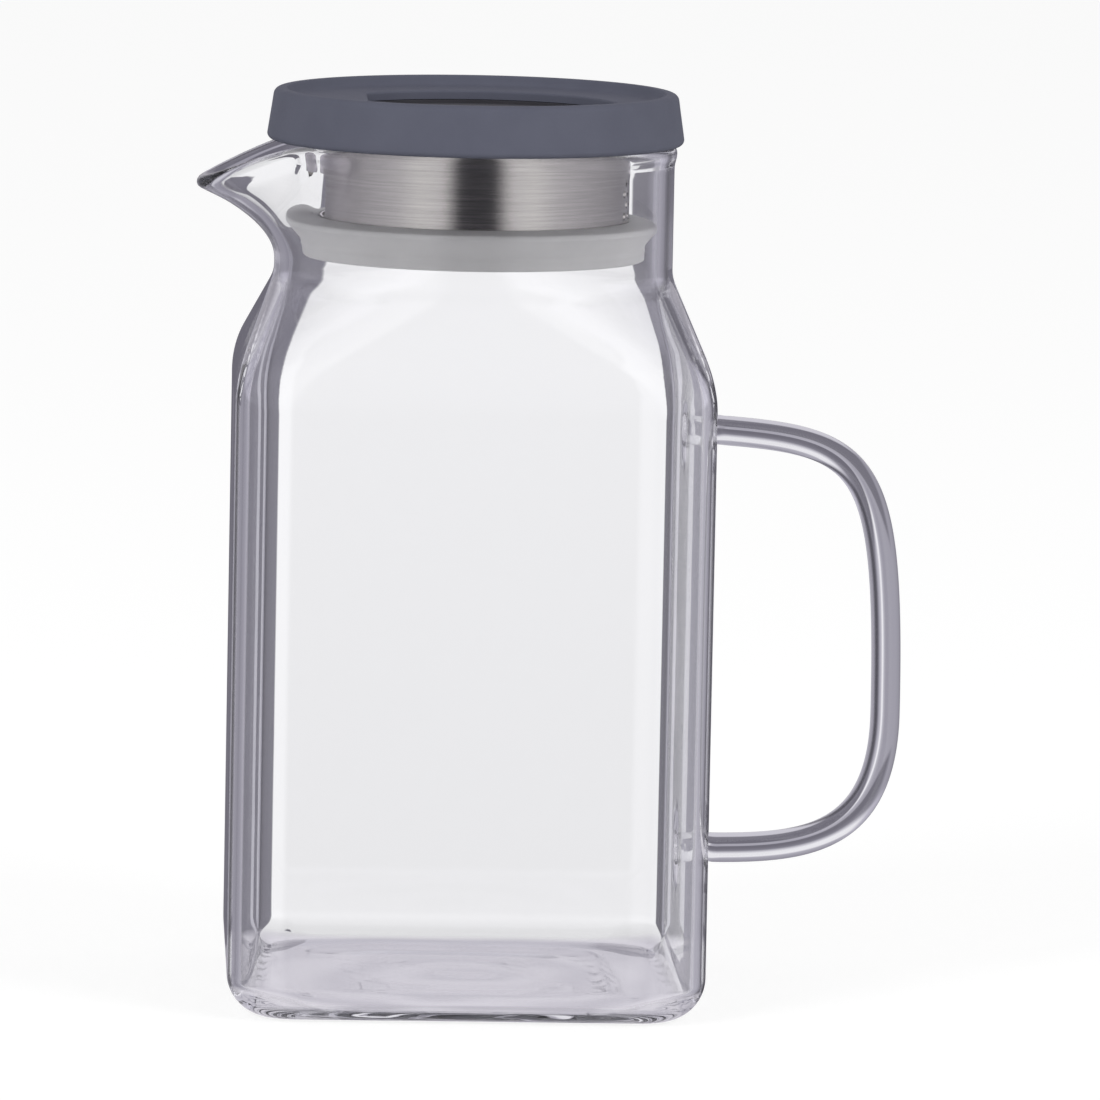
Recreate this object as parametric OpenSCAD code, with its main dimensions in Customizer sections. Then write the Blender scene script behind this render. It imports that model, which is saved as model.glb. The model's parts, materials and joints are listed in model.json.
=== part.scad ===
// Square glass storage jug with a pulled spout, a welded glass handle and a
// turning lid: silicone cover, moulded core, clamp ring, steel strainer collar
// and gasket.
// Origin on the jug's axis at the table, spout towards -X, handle towards +X.

/* [Glass body] */
// Width and depth of the square body
body_w = 100; // [90:1:130]
// Outer radius of the upright corners
corner_r = 14; // [12:0.5:20]
// Outer radius between the walls and the base
base_r = 9; // [6:0.5:10]
// Wall of the body
wall = 2.7; // [2.2:0.1:3.2]
// Inner radius between the walls and the base
heel_r = 4.5; // [3:0.5:8]
// Share of the inner base's half width that its corners round off
heel_round = 0.4; // [0.3:0.05:0.8]
// Thickness of the base
base_t = 3.4; // [2.6:0.1:5]
// Height at which the shoulder starts to draw in
shoulder_z = 127.5; // [125:0.5:180]
// Height of the shoulder, up to the neck
shoulder_h = 26.5; // [20:0.5:40]
// Part of the shoulder's height that bends in from the wall
bend_in_share = 0.42; // [0.2:0.01:0.6]
// Part of the shoulder's height that bends upright into the neck
bend_out_share = 0.13; // [0.05:0.01:0.3]

/* [Neck and spout] */
// Outer radius of the neck
neck_r = 41.9; // [38:0.1:43.5]
// Wall of the neck
neck_wall = 3.1; // [2.6:0.1:3.6]
// Height of the neck, from the shoulder to the top of the rim
neck_h = 26; // [25:0.5:34]
// How far the fire-polished rim stands out of the neck
rim_bead = 0.5; // [0:0.1:1]
// How far the spout's lip reaches out of the neck
spout_out = 15.5; // [8:0.1:20]
// How far the lip lies below the rim
spout_drop = 9; // [4:0.5:12]
// Half of the angle round the neck over which the spout is pulled
spout_angle = 33; // [26:1:40]
// Height above the shoulder at which the spout leaves the neck
spout_rise = 1; // [0:0.5:4]
// Wall of the spout at its lip
lip_wall = 2.4; // [2:0.1:3]

/* [Handle] */
// Thickness of the rod, seen from the side
rod_t = 6.2; // [5:0.1:8]
// Width of the rod, across the jug
rod_w = 9; // [8:0.5:16]
// Height of the upper weld's middle
weld_top_z = 120.2; // [110:0.5:124]
// Height of the lower weld's middle
weld_low_z = 31; // [24:0.5:50]
// Reach of the rod's middle from the wall at the widest place
grip_reach = 39; // [32:0.5:55]
// Height of the widest place of the grip
grip_z = 60.6; // [56:0.2:80]
// Angle at which the upper arm falls away from its weld
arm_fall = 3.7; // [0:0.1:8]
// Pull of the upper arm on the curve: the longer, the straighter it leaves the wall
arm_top_pull = 33.5; // [20:0.5:40]
// Pull of the lower arm on the curve
arm_low_pull = 21.4; // [16:0.2:36]
// Pull of the grip on the curve above its widest place
grip_top_pull = 56; // [30:0.5:60]
// Pull of the grip on the curve below its widest place
grip_low_pull = 29; // [16:0.5:32]
// How far a weld spreads beyond the rod on each side
weld_spread = 1.2; // [0.6:0.1:3]
// Length over which a weld draws in to the rod
weld_len = 2.2; // [1.5:0.1:4]

/* [Lid] */
// How far the silicone cover stands out of the neck at its lower edge
cover_over = 1.9; // [1.2:0.1:4]
// Height of the silicone cover
cover_h = 10.7; // [9:0.1:14]
// How much the cover draws in towards its top
cover_draft = 1.2; // [0:0.1:2]
// Rounding of the cover's upper edge
cover_top_round = 1.5; // [0.8:0.1:2]
// Rounding of the cover's lower edge
cover_low_round = 1.2; // [0.5:0.1:1.8]
// Wall of the silicone cover
cover_wall = 2.4; // [1.8:0.1:3]
// Thickness of the silicone over the core
cover_web = 1.8; // [1.2:0.1:2.4]
// Thickness of the silicone lip under the core
cover_lip = 1; // [0.8:0.1:1.6]
// Depth of the dish in the top of the cover
dish_depth = 2.5; // [1:0.1:3]
// Width of the raised rim round the dish
rim_w = 1.2; // [0.8:0.1:2]
// Radius of the grip well
well_r = 30; // [22:0.2:31]
// Distance of the well's straight side from the axis
well_chord = 22.6; // [16:0.5:27]
// Depth of the well's floor below the silicone's underside
well_sink = 0.6; // [0:0.1:1.2]

/* [Core] */
// Thickness of the core's spigot wall
spigot_t = 2; // [1.2:0.1:3]
// Depth of the spigot inside the collar
spigot_h = 3; // [2:0.1:5]
// Number of stiffening ribs under the core
rib_count = 6; // [4:1:10]
// Thickness of a stiffening rib
rib_t = 1.4; // [1:0.1:2]
// Thickness of the clamp ring under the collar's flange
clamp_t = 1.2; // [0.8:0.1:1.4]

/* [Strainer collar] */
// Thickness of the collar's steel
steel_t = 0.5; // [0.4:0.1:0.8]
// Width of the collar's upper flange
flange_top_w = 3.6; // [2:0.1:4]
// Width of the collar's lower flange
flange_low_w = 1.7; // [1:0.1:2]
// Width of the pouring window
window_w = 18.6; // [12:0.2:24]
// Height of the pouring window
window_h = 9.1; // [5:0.1:10]
// Corner radius of the pouring window
window_r = 2; // [1:0.1:2.4]
// Diameter of a strainer hole
hole_d = 1.6; // [1:0.1:2]
// Height between two rows of strainer holes
hole_rise = 2.3; // [2.2:0.1:3]
// Angle between neighbouring holes in a row
hole_angle = 5.7; // [5:0.1:8]
// Number of rows of strainer holes
hole_rows = 5; // [3:1:5]
// Number of holes in the shorter rows
hole_count = 7; // [3:1:9]

/* [Gasket] */
// Height of the gasket
gasket_h = 8.4; // [7:0.1:9]
// Height of the gasket's thin outer fin at its tip
fin_tip = 1.5; // [1:0.1:2]
// Width of the gasket's upper face, from the collar to the glass
gasket_w = 5.7; // [5:0.1:7]
// Thickness of the gasket's body outside the collar's lower flange
gasket_wall = 1.3; // [0.8:0.1:2]
// Height of the gasket's body below the fin
fin_below = 3.3; // [2.6:0.1:4]
// Drop of the gasket's upper face from the collar to the fin's tip
fin_drop = 0.6; // [0:0.1:1]
// Thickness of the gasket under the collar's flange
gasket_floor = 1.5; // [1:0.1:2]
// Height of the gasket's upper face below the rim of the glass
gasket_depth = 15.4; // [15:0.1:17]

/* [Fits] */
// Gap between the silicone and the glass that it seals
seal_gap = 0.3; // [0.2:0.05:0.5]
// Gap between the gasket and the collar that turns in it
turn_gap = 0.3; // [0.2:0.05:0.4]
// Gap between pieces that are pushed together
push_gap = 0.1; // [0.05:0.05:0.2]

/* [Hidden] */

half_w = body_w / 2;
neck_z = shoulder_z + shoulder_h;
rim_z = neck_z + neck_h;
neck_bore_r = neck_r - neck_wall;
over = 1;

// Segments of an upright corner, of a fillet and of each stretch of the wall
corner_steps = 16;
fillet_steps = 5;
shoulder_steps = 9;
neck_steps = 9;
rim_steps = 4;
nudge_angle = 0.5;
nudge_share = 0.01;

// Heights and radii of the lid, from the rim of the glass upwards
cover_z = rim_z + seal_gap;
cover_top_z = cover_z + cover_h;
cover_r = neck_r + cover_over;
cover_top_r = cover_r - cover_draft;
core_r = cover_r - cover_wall - push_gap;
clamp_z = cover_z + cover_lip + push_gap;
collar_top_z = clamp_z + clamp_t + push_gap + steel_t;
core_low_z = collar_top_z + push_gap;
core_top_z = cover_top_z - dish_depth - cover_web - push_gap;
well_floor_z = core_top_z - well_sink;
gasket_r = neck_bore_r - seal_gap;
collar_r = gasket_r - gasket_w - turn_gap;
collar_in_r = collar_r - steel_t;
flange_top_r = collar_r + flange_top_w;
flange_low_r = collar_r + flange_low_w;

// Heights of the gasket and of what sits in it
gasket_top_z = rim_z - gasket_depth;
gasket_z = gasket_top_z - gasket_h;
groove_r = flange_low_r + turn_gap;
gasket_body_r = groove_r + gasket_wall;
collar_z = gasket_z + gasket_floor + turn_gap;
window_z = gasket_top_z + window_h / 2;
hole_first_z = window_z + window_h / 2 - hole_d / 2;

function unit(v) = v / norm(v);
function mix(a, b, t) = a + (b - a) * t;

// Share of the shoulder's draw-in that is reached at share k of its height:
// it bends in, runs straight and bends upright again
bend_sum = 1 - (bend_in_share + bend_out_share) / 2;
function draw_in(k) =
    k < bend_in_share ? k * k / (2 * bend_in_share * bend_sum)
    : k > 1 - bend_out_share ? 1 - (1 - k) * (1 - k) / (2 * bend_out_share * bend_sum)
    : (k - bend_in_share / 2) / bend_sum;
function draw_slope(k) =
    k < bend_in_share ? k / (bend_in_share * bend_sum)
    : k > 1 - bend_out_share ? (1 - k) / (bend_out_share * bend_sum)
    : 1 / bend_sum;

// A rounded square of half width a and corner radius r at height z. As round
// grows from 0 to 1 the corners' points spread evenly, so that a circle has
// no doubled points where its sides have shrunk to nothing.
function ring(a, r, z, round) = [
    for (q = [0:3], k = [0:corner_steps])
        let (
            t = mix(90 * k / corner_steps, 90 * (k + 0.5) / (corner_steps + 1), round),
            c = a - r,
            x = c + r * cos(t),
            y = c + r * sin(t)
        )
        [x * cos(90 * q) - y * sin(90 * q), x * sin(90 * q) + y * cos(90 * q), z]
];

// Polar angle of each point of a round ring
ring_angles = [
    for (q = [0:3], k = [0:corner_steps])
        90 * q + 90 * (k + 0.5) / (corner_steps + 1)
];

// The quarter-round between a wall and a base: its wall stands at half width
// a, its flat at height z
function fillet_rings(a, corner, r, z) = [
    for (i = [0:fillet_steps])
        let (t = 90 * i / fillet_steps, inset = r * (1 - sin(t)))
        ring(a - inset, corner - inset, z + r * (1 - cos(t)), 0)
];

// The inner quarter-round, whose corners round off further towards the base
function heel_rings() = [
    for (i = [0:fillet_steps])
        let (
            t = 90 * i / fillet_steps,
            a = half_w - wall - heel_r * (1 - sin(t)),
            corner = mix(heel_round * a, corner_r - wall, sin(t))
        )
        ring(a, corner, base_t + heel_r * (1 - cos(t)), 0)
];

// The shoulder's surface, moved inwards by the thickness d
function shoulder_ring(k, d) =
    let (
        s = draw_in(k),
        slope = draw_slope(k) * (half_w - neck_r) / shoulder_h,
        lean = atan(slope),
        a = mix(half_w, neck_r, s),
        r = mix(corner_r, neck_r, s)
    )
    ring(
        a - d * cos(lean),
        r - d * cos(lean),
        shoulder_z + k * shoulder_h - d * sin(lean),
        s
    );

// The neck and its spout. lip() is 1 at the spout's middle and 0 off it.
function lip(angle) =
    let (off = abs(angle - 180))
    off < spout_angle ? pow(cos(90 * off / spout_angle), 2) : 0;
function edge_z(angle) = rim_z - neck_wall / 2 - spout_drop * lip(angle);
function pull(z, angle) =
    let (from = neck_z + spout_rise)
    z > from ? pow((z - from) / (edge_z(angle) - from), 2) : 0;
function bead(z, angle) =
    let (t = (z - edge_z(angle) + neck_wall) / neck_wall)
    t > 0 ? rim_bead * pow(sin(90 * min(t, 1)), 2) : 0;
function neck_point(angle, s) =
    let (
        z = mix(neck_z, edge_z(angle), s),
        r = neck_r + spout_out * lip(angle) * pull(z, angle) + bead(z, angle)
    )
    [r * cos(angle), r * sin(angle), z];
function along_up(angle, s) =
    unit(neck_point(angle, s + nudge_share) - neck_point(angle, s - nudge_share));
function outward(angle, s) =
    unit(cross(
        neck_point(angle + nudge_angle, s) - neck_point(angle - nudge_angle, s),
        along_up(angle, s)
    ));
function neck_thick(angle, s) =
    let (p = neck_point(angle, s))
    mix(neck_wall, lip_wall, lip(angle) * pull(p[2], angle)) + bead(p[2], angle);
function neck_ring(s, inside) = [
    for (angle = ring_angles)
        neck_point(angle, s) - inside * neck_thick(angle, s) * outward(angle, s)
];
function rim_ring(i) = [
    for (angle = ring_angles)
        let (
            t = 180 * i / (rim_steps + 1),
            half = neck_thick(angle, 1) / 2,
            middle = neck_point(angle, 1) - half * outward(angle, 1)
        )
        middle + half * (cos(t) * outward(angle, 1) + sin(t) * along_up(angle, 1))
];

body_rings = concat(
    fillet_rings(half_w, corner_r, base_r, 0),
    [for (i = [0:shoulder_steps]) shoulder_ring(i / shoulder_steps, 0)],
    [for (i = [1:neck_steps]) neck_ring(i / neck_steps, 0)],
    [for (i = [1:rim_steps]) rim_ring(i)],
    [for (i = [neck_steps:-1:1]) neck_ring(i / neck_steps, 1)],
    [
        for (i = [shoulder_steps:-1:0])
            shoulder_ring(i / shoulder_steps, mix(wall, neck_wall, i / shoulder_steps))
    ],
    [for (i = [fillet_steps:-1:0]) heel_rings()[i]]
);

// A closed skin over rings of points, each with the same number of points
module skin(rings) {
    n = len(rings[0]);
    last = len(rings) - 1;
    polyhedron(
        points = [for (r = rings) for (p = r) p],
        faces = concat(
            [[for (j = [0:n - 1]) j]],
            [
                for (i = [0:last - 1], j = [0:n - 1], half = [0:1])
                    let (a = i * n + j, b = i * n + (j + 1) % n)
                    half == 0 ? [a, a + n, b + n] : [a, b + n, b]
            ],
            [[for (j = [n - 1:-1:0]) last * n + j]]
        )
    );
}

module glass_body() {
    color([0.86, 0.88, 0.9, 0.4]) skin(body_rings);
}

// Point at share t of a smooth curve from p to q, which leaves p towards a and
// reaches q from b
function curve(p, a, b, q, t) =
    let (u = 1 - t)
    p * pow(u, 3) + a * 3 * u * u * t + b * 3 * u * t * t + q * pow(t, 3);

// The rod's middle line in the XZ plane, from the upper to the lower weld
grip_mid = [half_w + grip_reach, grip_z];
weld_top = [half_w, weld_top_z];
weld_low = [half_w, weld_low_z];
arm_top = weld_top + arm_top_pull * [cos(arm_fall), -sin(arm_fall)];
arm_low = weld_low + [arm_low_pull, 0];
grip_up = grip_mid + [0, grip_top_pull];
grip_down = grip_mid - [0, grip_low_pull];
weld_shares = [0, 0.25, 0.6, 1];
curve_steps = 20;
rod_points = 16;
function shares_along(pull) =
    let (weld = weld_len / (3 * pull))
    concat(weld_shares * weld, [for (i = [1:curve_steps]) mix(weld, 1, i / curve_steps)]);
rod_line = concat(
    [for (t = shares_along(arm_top_pull)) curve(weld_top, arm_top, grip_up, grip_mid, t)],
    [
        for (i = [len(weld_shares) + curve_steps - 2:-1:0])
            curve(weld_low, arm_low, grip_down, grip_mid, shares_along(arm_low_pull)[i])
    ]
);
rod_last = len(rod_line) - 1;

// The welds lie flat on the wall, so the rod's end rings face along X
function rod_heading(i) =
    i == 0 ? [1, 0]
    : i == rod_last ? [-1, 0]
    : unit(unit(rod_line[i + 1] - rod_line[i]) + unit(rod_line[i] - rod_line[i - 1]));
function weld_extra(i) =
    let (
        from_end = min(i, rod_last - i),
        t = from_end < len(weld_shares) ? weld_shares[from_end] : 1
    )
    weld_spread * pow(1 - t, 2);
function rod_ring(i) =
    let (
        h = rod_heading(i),
        side = [h[1], -h[0]],
        half_t = rod_t / 2 + weld_extra(i),
        half_b = rod_w / 2 + weld_extra(i)
    )
    [
        for (j = [0:rod_points - 1])
            let (
                t = 360 * j / rod_points,
                p = rod_line[i] + side * half_t * cos(t)
            )
            [p[0], half_b * sin(t), p[1]]
    ];

module handle() {
    color([0.86, 0.88, 0.9, 0.5]) skin([for (i = [0:rod_last]) rod_ring(i)]);
}

// A quarter-round of radius r about a centre, from angle a to angle b
arc_steps = 6;
function quarter(centre, r, a, b) = [
    for (i = [0:arc_steps])
        let (t = mix(a, b, i / arc_steps))
        centre + r * [cos(t), sin(t)]
];

// The outline of the grip well: a circle cut by a straight side
module well_outline(grow) {
    intersection() {
        circle(r = well_r + grow, $fn = 96);
        translate([-well_chord - grow, -well_r - over])
            square([well_chord + well_r + 2 * over, 2 * (well_r + over)]);
    }
}

module lid_cover() {
    dish_z = cover_top_z - dish_depth;
    color([0.36, 0.37, 0.44]) difference() {
        rotate_extrude($fn = 128) polygon(concat(
            [[0, cover_z]],
            quarter(
                [cover_r - cover_low_round, cover_z + cover_low_round],
                cover_low_round, -90, 0
            ),
            quarter(
                [cover_top_r - cover_top_round, cover_top_z - cover_top_round],
                cover_top_round, 0, 90
            ),
            [
                [cover_top_r - cover_top_round - rim_w, cover_top_z],
                [cover_top_r - cover_top_round - rim_w - dish_depth, cover_top_z - dish_depth / 2],
                [well_r, dish_z],
                [0, dish_z]
            ]
        ));
        translate([0, 0, cover_z + cover_lip])
            cylinder(r = core_r + push_gap, h = core_top_z + push_gap - cover_z - cover_lip, $fn = 128);
        translate([0, 0, cover_z - over])
            cylinder(r = collar_r + 2 * push_gap, h = cover_lip + 2 * over, $fn = 128);
        translate([0, 0, core_top_z])
            linear_extrude(cover_h) well_outline(0);
    }
}

module lid_core() {
    color([0.24, 0.24, 0.26]) {
        difference() {
            union() {
                translate([0, 0, core_low_z])
                    cylinder(r = core_r, h = core_top_z - core_low_z, $fn = 128);
                translate([0, 0, core_low_z - spigot_h])
                    cylinder(r = collar_in_r - push_gap, h = spigot_h, $fn = 128);
            }
            translate([0, 0, core_low_z - spigot_h - over])
                difference() {
                    cylinder(r = collar_in_r - push_gap - spigot_t, h = spigot_h + over, $fn = 128);
                    for (i = [0:rib_count - 1])
                        rotate([0, 0, 360 * i / rib_count])
                            translate([0, -rib_t / 2, spigot_h / 2])
                                cube([collar_r, rib_t, spigot_h + over]);
                }
            translate([0, 0, well_floor_z])
                linear_extrude(well_sink + over) well_outline(-rib_t);
        }
    }
}

// Holds the collar's upper flange against the core
module clamp_ring() {
    color([0.24, 0.24, 0.26]) difference() {
        translate([0, 0, clamp_z])
            cylinder(r = core_r, h = core_low_z - clamp_z, $fn = 128);
        translate([0, 0, clamp_z + clamp_t])
            cylinder(r = flange_top_r + push_gap, h = core_low_z, $fn = 128);
        translate([0, 0, clamp_z - over])
            cylinder(r = collar_r + push_gap, h = clamp_t + 2 * over, $fn = 128);
    }
}

// A rounded slot through the collar's wall, towards -X
module window_cut() {
    translate([-collar_r - over, 0, window_z])
        rotate([0, 90, 0])
            linear_extrude(collar_r)
                offset(r = window_r)
                    square([window_h - 2 * window_r, window_w - 2 * window_r], center = true);
}

module strainer_collar() {
    color([0.74, 0.74, 0.74]) difference() {
        union() {
            translate([0, 0, collar_z])
                cylinder(r = collar_r, h = collar_top_z - collar_z, $fn = 128);
            translate([0, 0, collar_z])
                cylinder(r = flange_low_r, h = steel_t, $fn = 128);
            translate([0, 0, collar_top_z - steel_t])
                cylinder(r = flange_top_r, h = steel_t, $fn = 128);
        }
        translate([0, 0, collar_z - over])
            cylinder(r = collar_in_r, h = collar_top_z - collar_z + 2 * over, $fn = 128);
        window_cut();
        for (row = [0:hole_rows - 1])
            let (count = hole_count + row % 2)
            for (i = [0:count - 1])
                rotate([0, 0, hole_angle * (i - (count - 1) / 2)])
                    translate([collar_in_r - over, 0, hole_first_z - row * hole_rise])
                        rotate([0, 90, 0])
                            cylinder(d = hole_d, h = steel_t + 2 * over, $fn = 24);
    }
}

module gasket() {
    groove_z = collar_z - turn_gap;
    groove_top_z = collar_z + steel_t + turn_gap;
    grip_r = collar_r + turn_gap;
    color([0.82, 0.83, 0.85]) rotate_extrude($fn = 128) polygon([
        [collar_in_r, gasket_z],
        [gasket_body_r, gasket_z],
        [gasket_body_r, gasket_z + fin_below],
        [gasket_r, gasket_top_z - fin_drop - fin_tip],
        [gasket_r, gasket_top_z - fin_drop],
        [grip_r, gasket_top_z],
        [grip_r, groove_top_z],
        [groove_r, groove_top_z],
        [groove_r, groove_z],
        [collar_in_r, groove_z]
    ]);
}

glass_body();
handle();
lid_cover();
lid_core();
clamp_ring();
strainer_collar();
gasket();
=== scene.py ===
"""The looks of a square glass storage jug with a strainer lid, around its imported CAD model.

The jug is one skin of clear glass: a mould-blown square body with a pulled spout and a rod handle
welded to its side. Its lid is a silicone cover over a moulded core, which holds a brushed steel
strainer collar in a translucent silicone gasket. Every size is in millimetres until it reaches a
mesh, and every piece has its place in its mesh, in the row frame.
"""

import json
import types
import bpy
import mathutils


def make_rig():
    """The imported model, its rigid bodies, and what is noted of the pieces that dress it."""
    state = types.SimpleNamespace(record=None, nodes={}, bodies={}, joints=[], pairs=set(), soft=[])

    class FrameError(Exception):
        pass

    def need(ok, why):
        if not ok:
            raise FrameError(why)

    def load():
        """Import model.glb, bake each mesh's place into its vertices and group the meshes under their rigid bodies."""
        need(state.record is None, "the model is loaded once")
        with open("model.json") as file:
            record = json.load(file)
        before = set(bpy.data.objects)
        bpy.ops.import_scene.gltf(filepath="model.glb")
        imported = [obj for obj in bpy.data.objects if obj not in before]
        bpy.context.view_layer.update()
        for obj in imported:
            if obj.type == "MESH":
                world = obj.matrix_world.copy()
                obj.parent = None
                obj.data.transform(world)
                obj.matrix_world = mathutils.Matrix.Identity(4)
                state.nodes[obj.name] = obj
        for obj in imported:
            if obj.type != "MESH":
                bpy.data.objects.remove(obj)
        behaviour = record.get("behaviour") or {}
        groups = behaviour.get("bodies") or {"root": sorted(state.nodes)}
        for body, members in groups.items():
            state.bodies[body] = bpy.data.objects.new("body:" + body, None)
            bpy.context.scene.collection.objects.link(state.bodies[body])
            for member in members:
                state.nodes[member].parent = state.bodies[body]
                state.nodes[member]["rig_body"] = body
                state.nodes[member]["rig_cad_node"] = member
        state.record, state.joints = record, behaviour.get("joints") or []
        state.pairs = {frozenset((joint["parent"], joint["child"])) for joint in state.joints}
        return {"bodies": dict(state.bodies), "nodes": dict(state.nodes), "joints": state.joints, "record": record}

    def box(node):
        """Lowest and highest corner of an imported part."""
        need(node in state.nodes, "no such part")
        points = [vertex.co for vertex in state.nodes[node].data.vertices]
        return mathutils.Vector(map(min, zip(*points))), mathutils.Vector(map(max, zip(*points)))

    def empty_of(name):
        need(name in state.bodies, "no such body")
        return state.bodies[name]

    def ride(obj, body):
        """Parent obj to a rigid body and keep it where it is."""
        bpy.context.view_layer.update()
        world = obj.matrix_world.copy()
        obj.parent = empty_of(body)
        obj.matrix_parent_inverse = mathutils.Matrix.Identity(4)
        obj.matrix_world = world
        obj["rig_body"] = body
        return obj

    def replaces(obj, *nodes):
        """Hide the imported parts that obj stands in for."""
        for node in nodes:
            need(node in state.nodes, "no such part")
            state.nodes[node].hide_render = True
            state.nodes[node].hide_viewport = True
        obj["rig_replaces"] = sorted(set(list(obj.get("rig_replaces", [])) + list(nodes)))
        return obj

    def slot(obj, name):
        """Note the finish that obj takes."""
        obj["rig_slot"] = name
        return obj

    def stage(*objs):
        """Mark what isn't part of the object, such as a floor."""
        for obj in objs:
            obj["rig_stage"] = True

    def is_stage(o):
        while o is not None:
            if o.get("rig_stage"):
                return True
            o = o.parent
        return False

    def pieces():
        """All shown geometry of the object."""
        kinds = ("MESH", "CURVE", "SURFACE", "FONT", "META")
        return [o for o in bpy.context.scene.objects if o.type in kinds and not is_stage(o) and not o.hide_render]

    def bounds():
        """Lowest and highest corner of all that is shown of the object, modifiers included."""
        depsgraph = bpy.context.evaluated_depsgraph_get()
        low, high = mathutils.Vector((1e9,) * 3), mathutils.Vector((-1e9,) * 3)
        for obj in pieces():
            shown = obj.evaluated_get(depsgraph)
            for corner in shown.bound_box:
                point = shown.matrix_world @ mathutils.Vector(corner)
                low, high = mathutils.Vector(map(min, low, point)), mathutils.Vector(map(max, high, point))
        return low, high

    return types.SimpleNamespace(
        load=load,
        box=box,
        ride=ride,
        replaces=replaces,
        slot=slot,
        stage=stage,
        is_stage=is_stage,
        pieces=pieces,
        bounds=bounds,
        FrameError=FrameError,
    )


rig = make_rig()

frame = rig.load()

import json
import logging
import math
from dataclasses import dataclass
from enum import Enum
from typing import Any, Callable, Sequence

import bmesh
import bpy
import numpy as np
from mathutils import Matrix, Vector

with open("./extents.json", "w") as size_file:
    json.dump({"cad": [list(corner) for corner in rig.bounds()]}, size_file)

log = logging.getLogger("jug")

Tree = bpy.types.NodeTree
Node = bpy.types.Node
Output = bpy.types.NodeSocket
Material = bpy.types.Material
Piece = bpy.types.Object
Loops = list[np.ndarray]
Stops = Sequence[tuple[float, float]]

MM = 0.001
FULL_TURN = 2 * math.pi
RIGHT_ANGLE = math.pi / 2
JUG, SEAL, LID = "jug", "seal", "lid"
MATH, VECTOR_MATH, SPAN = "ShaderNodeMath", "ShaderNodeVectorMath", "ShaderNodeMapRange"
MIX, RAMP, NOISE, BUMP = "ShaderNodeMix", "ShaderNodeValToRGB", "ShaderNodeTexNoise", "ShaderNodeBump"
JOIN_XYZ, SPLIT_XYZ = "ShaderNodeCombineXYZ", "ShaderNodeSeparateXYZ"
PLACE, GLOW, MIX_SHADER = "ShaderNodeTexCoord", "ShaderNodeEmission", "ShaderNodeMixShader"
# A noise's values lie mostly between these two.
NOISE_SPAN = (0.3, 0.7)


class Socket(Enum):
    """The kinds of input that a Geometry Nodes tree takes here."""

    SHAPE = "NodeSocketGeometry"
    NUMBER = "NodeSocketFloat"
    COUNT = "NodeSocketInt"
    FINISH = "NodeSocketMaterial"


def linear(colour: str) -> tuple[float, float, float, float]:
    """Turns an sRGB hex colour into the linear RGBA that Blender's sockets hold.

    Args:
        colour: Six hex digits, with or without a leading #.

    Returns:
        Linear red, green and blue, and an alpha of 1.
    """
    digits = colour.lstrip("#")
    tones = [int(digits[i : i + 2], 16) / 255 for i in (0, 2, 4)]
    toned = [t / 12.92 if t <= 0.04045 else ((t + 0.055) / 1.055) ** 2.4 for t in tones]
    return toned[0], toned[1], toned[2], 1.0


def greys(stops: Stops, cool: float = 0.0) -> list[tuple]:
    """Turns grey tones into a ramp's stops, whose darker tones are a little violet.

    Args:
        stops: Pairs of place, from 0 to 1, and tone.
        cool: How violet the darker tones are.

    Returns:
        Pairs of place and linear colour.
    """
    coloured = []
    for place, tone in stops:
        depth = cool * (1 - tone)
        coloured.append((place, (tone, tone * (1 - 0.05 * depth), tone * (1 + 0.2 * depth), 1.0)))
    return coloured


def add(tree: Tree, kind: str, inputs: Any = (), stops: Sequence[tuple] = (), **settings: Any) -> Node:
    """Adds one node with its settings, values and links.

    Args:
        tree: The node tree that takes the node.
        kind: The node's type, such as ShaderNodeMath.
        inputs: What the inputs take, in order, or mapped from their names or numbers. Each takes a
            number, an output, a node that stands for its first output, or a list of outputs or nodes.
        stops: Pairs of place and linear colour, for a ramp.
        settings: The node's own properties.

    Returns:
        The new node.
    """
    node = tree.nodes.new(kind)
    for name, value in settings.items():
        setattr(node, name, value)
    steps = node.color_ramp.elements if stops else ()
    while len(steps) < len(stops):
        steps.new(0.5)
    for step, (place, colour) in zip(steps, stops):
        step.position = place
        step.color = colour
    for key, taken in (inputs if isinstance(inputs, dict) else dict(enumerate(inputs))).items():
        for value in taken if isinstance(taken, list) else [taken]:
            source = value.outputs[0] if isinstance(value, Node) else value
            if isinstance(source, Output):
                tree.links.new(source, node.inputs[key])
            else:
                node.inputs[key].default_value = source
    return node


def start_tree(name: str, inputs: dict[Socket, Sequence[str]], result: str) -> tuple[Tree, Any]:
    """Starts a Geometry Nodes tree that has named inputs and one output.

    Args:
        name: The tree's name.
        inputs: The names of its inputs, by their kind, with its geometry first.
        result: The name of its output.

    Returns:
        The tree, and the sockets that give its inputs' values.
    """
    tree = bpy.data.node_groups.new(name, "GeometryNodeTree")
    for kind, names in inputs.items():
        for each in names:
            tree.interface.new_socket(each, in_out="INPUT", socket_type=kind.value)
    tree.interface.new_socket(result, in_out="OUTPUT", socket_type=Socket.SHAPE.value)
    return tree, add(tree, "NodeGroupInput").outputs


def end_tree(tree: Tree, shape: Node, finish: Output) -> Tree:
    """Ends a Geometry Nodes tree in plain geometry with its material.

    Args:
        tree: The tree.
        shape: The node that gives the finished shape.
        finish: The socket that gives its material.

    Returns:
        The same tree.
    """
    real = add(tree, "GeometryNodeRealizeInstances", (shape,))
    dressed = add(tree, "GeometryNodeSetMaterial", {"Geometry": real, "Material": finish})
    add(tree, "NodeGroupOutput", (dressed,))
    return tree


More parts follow.
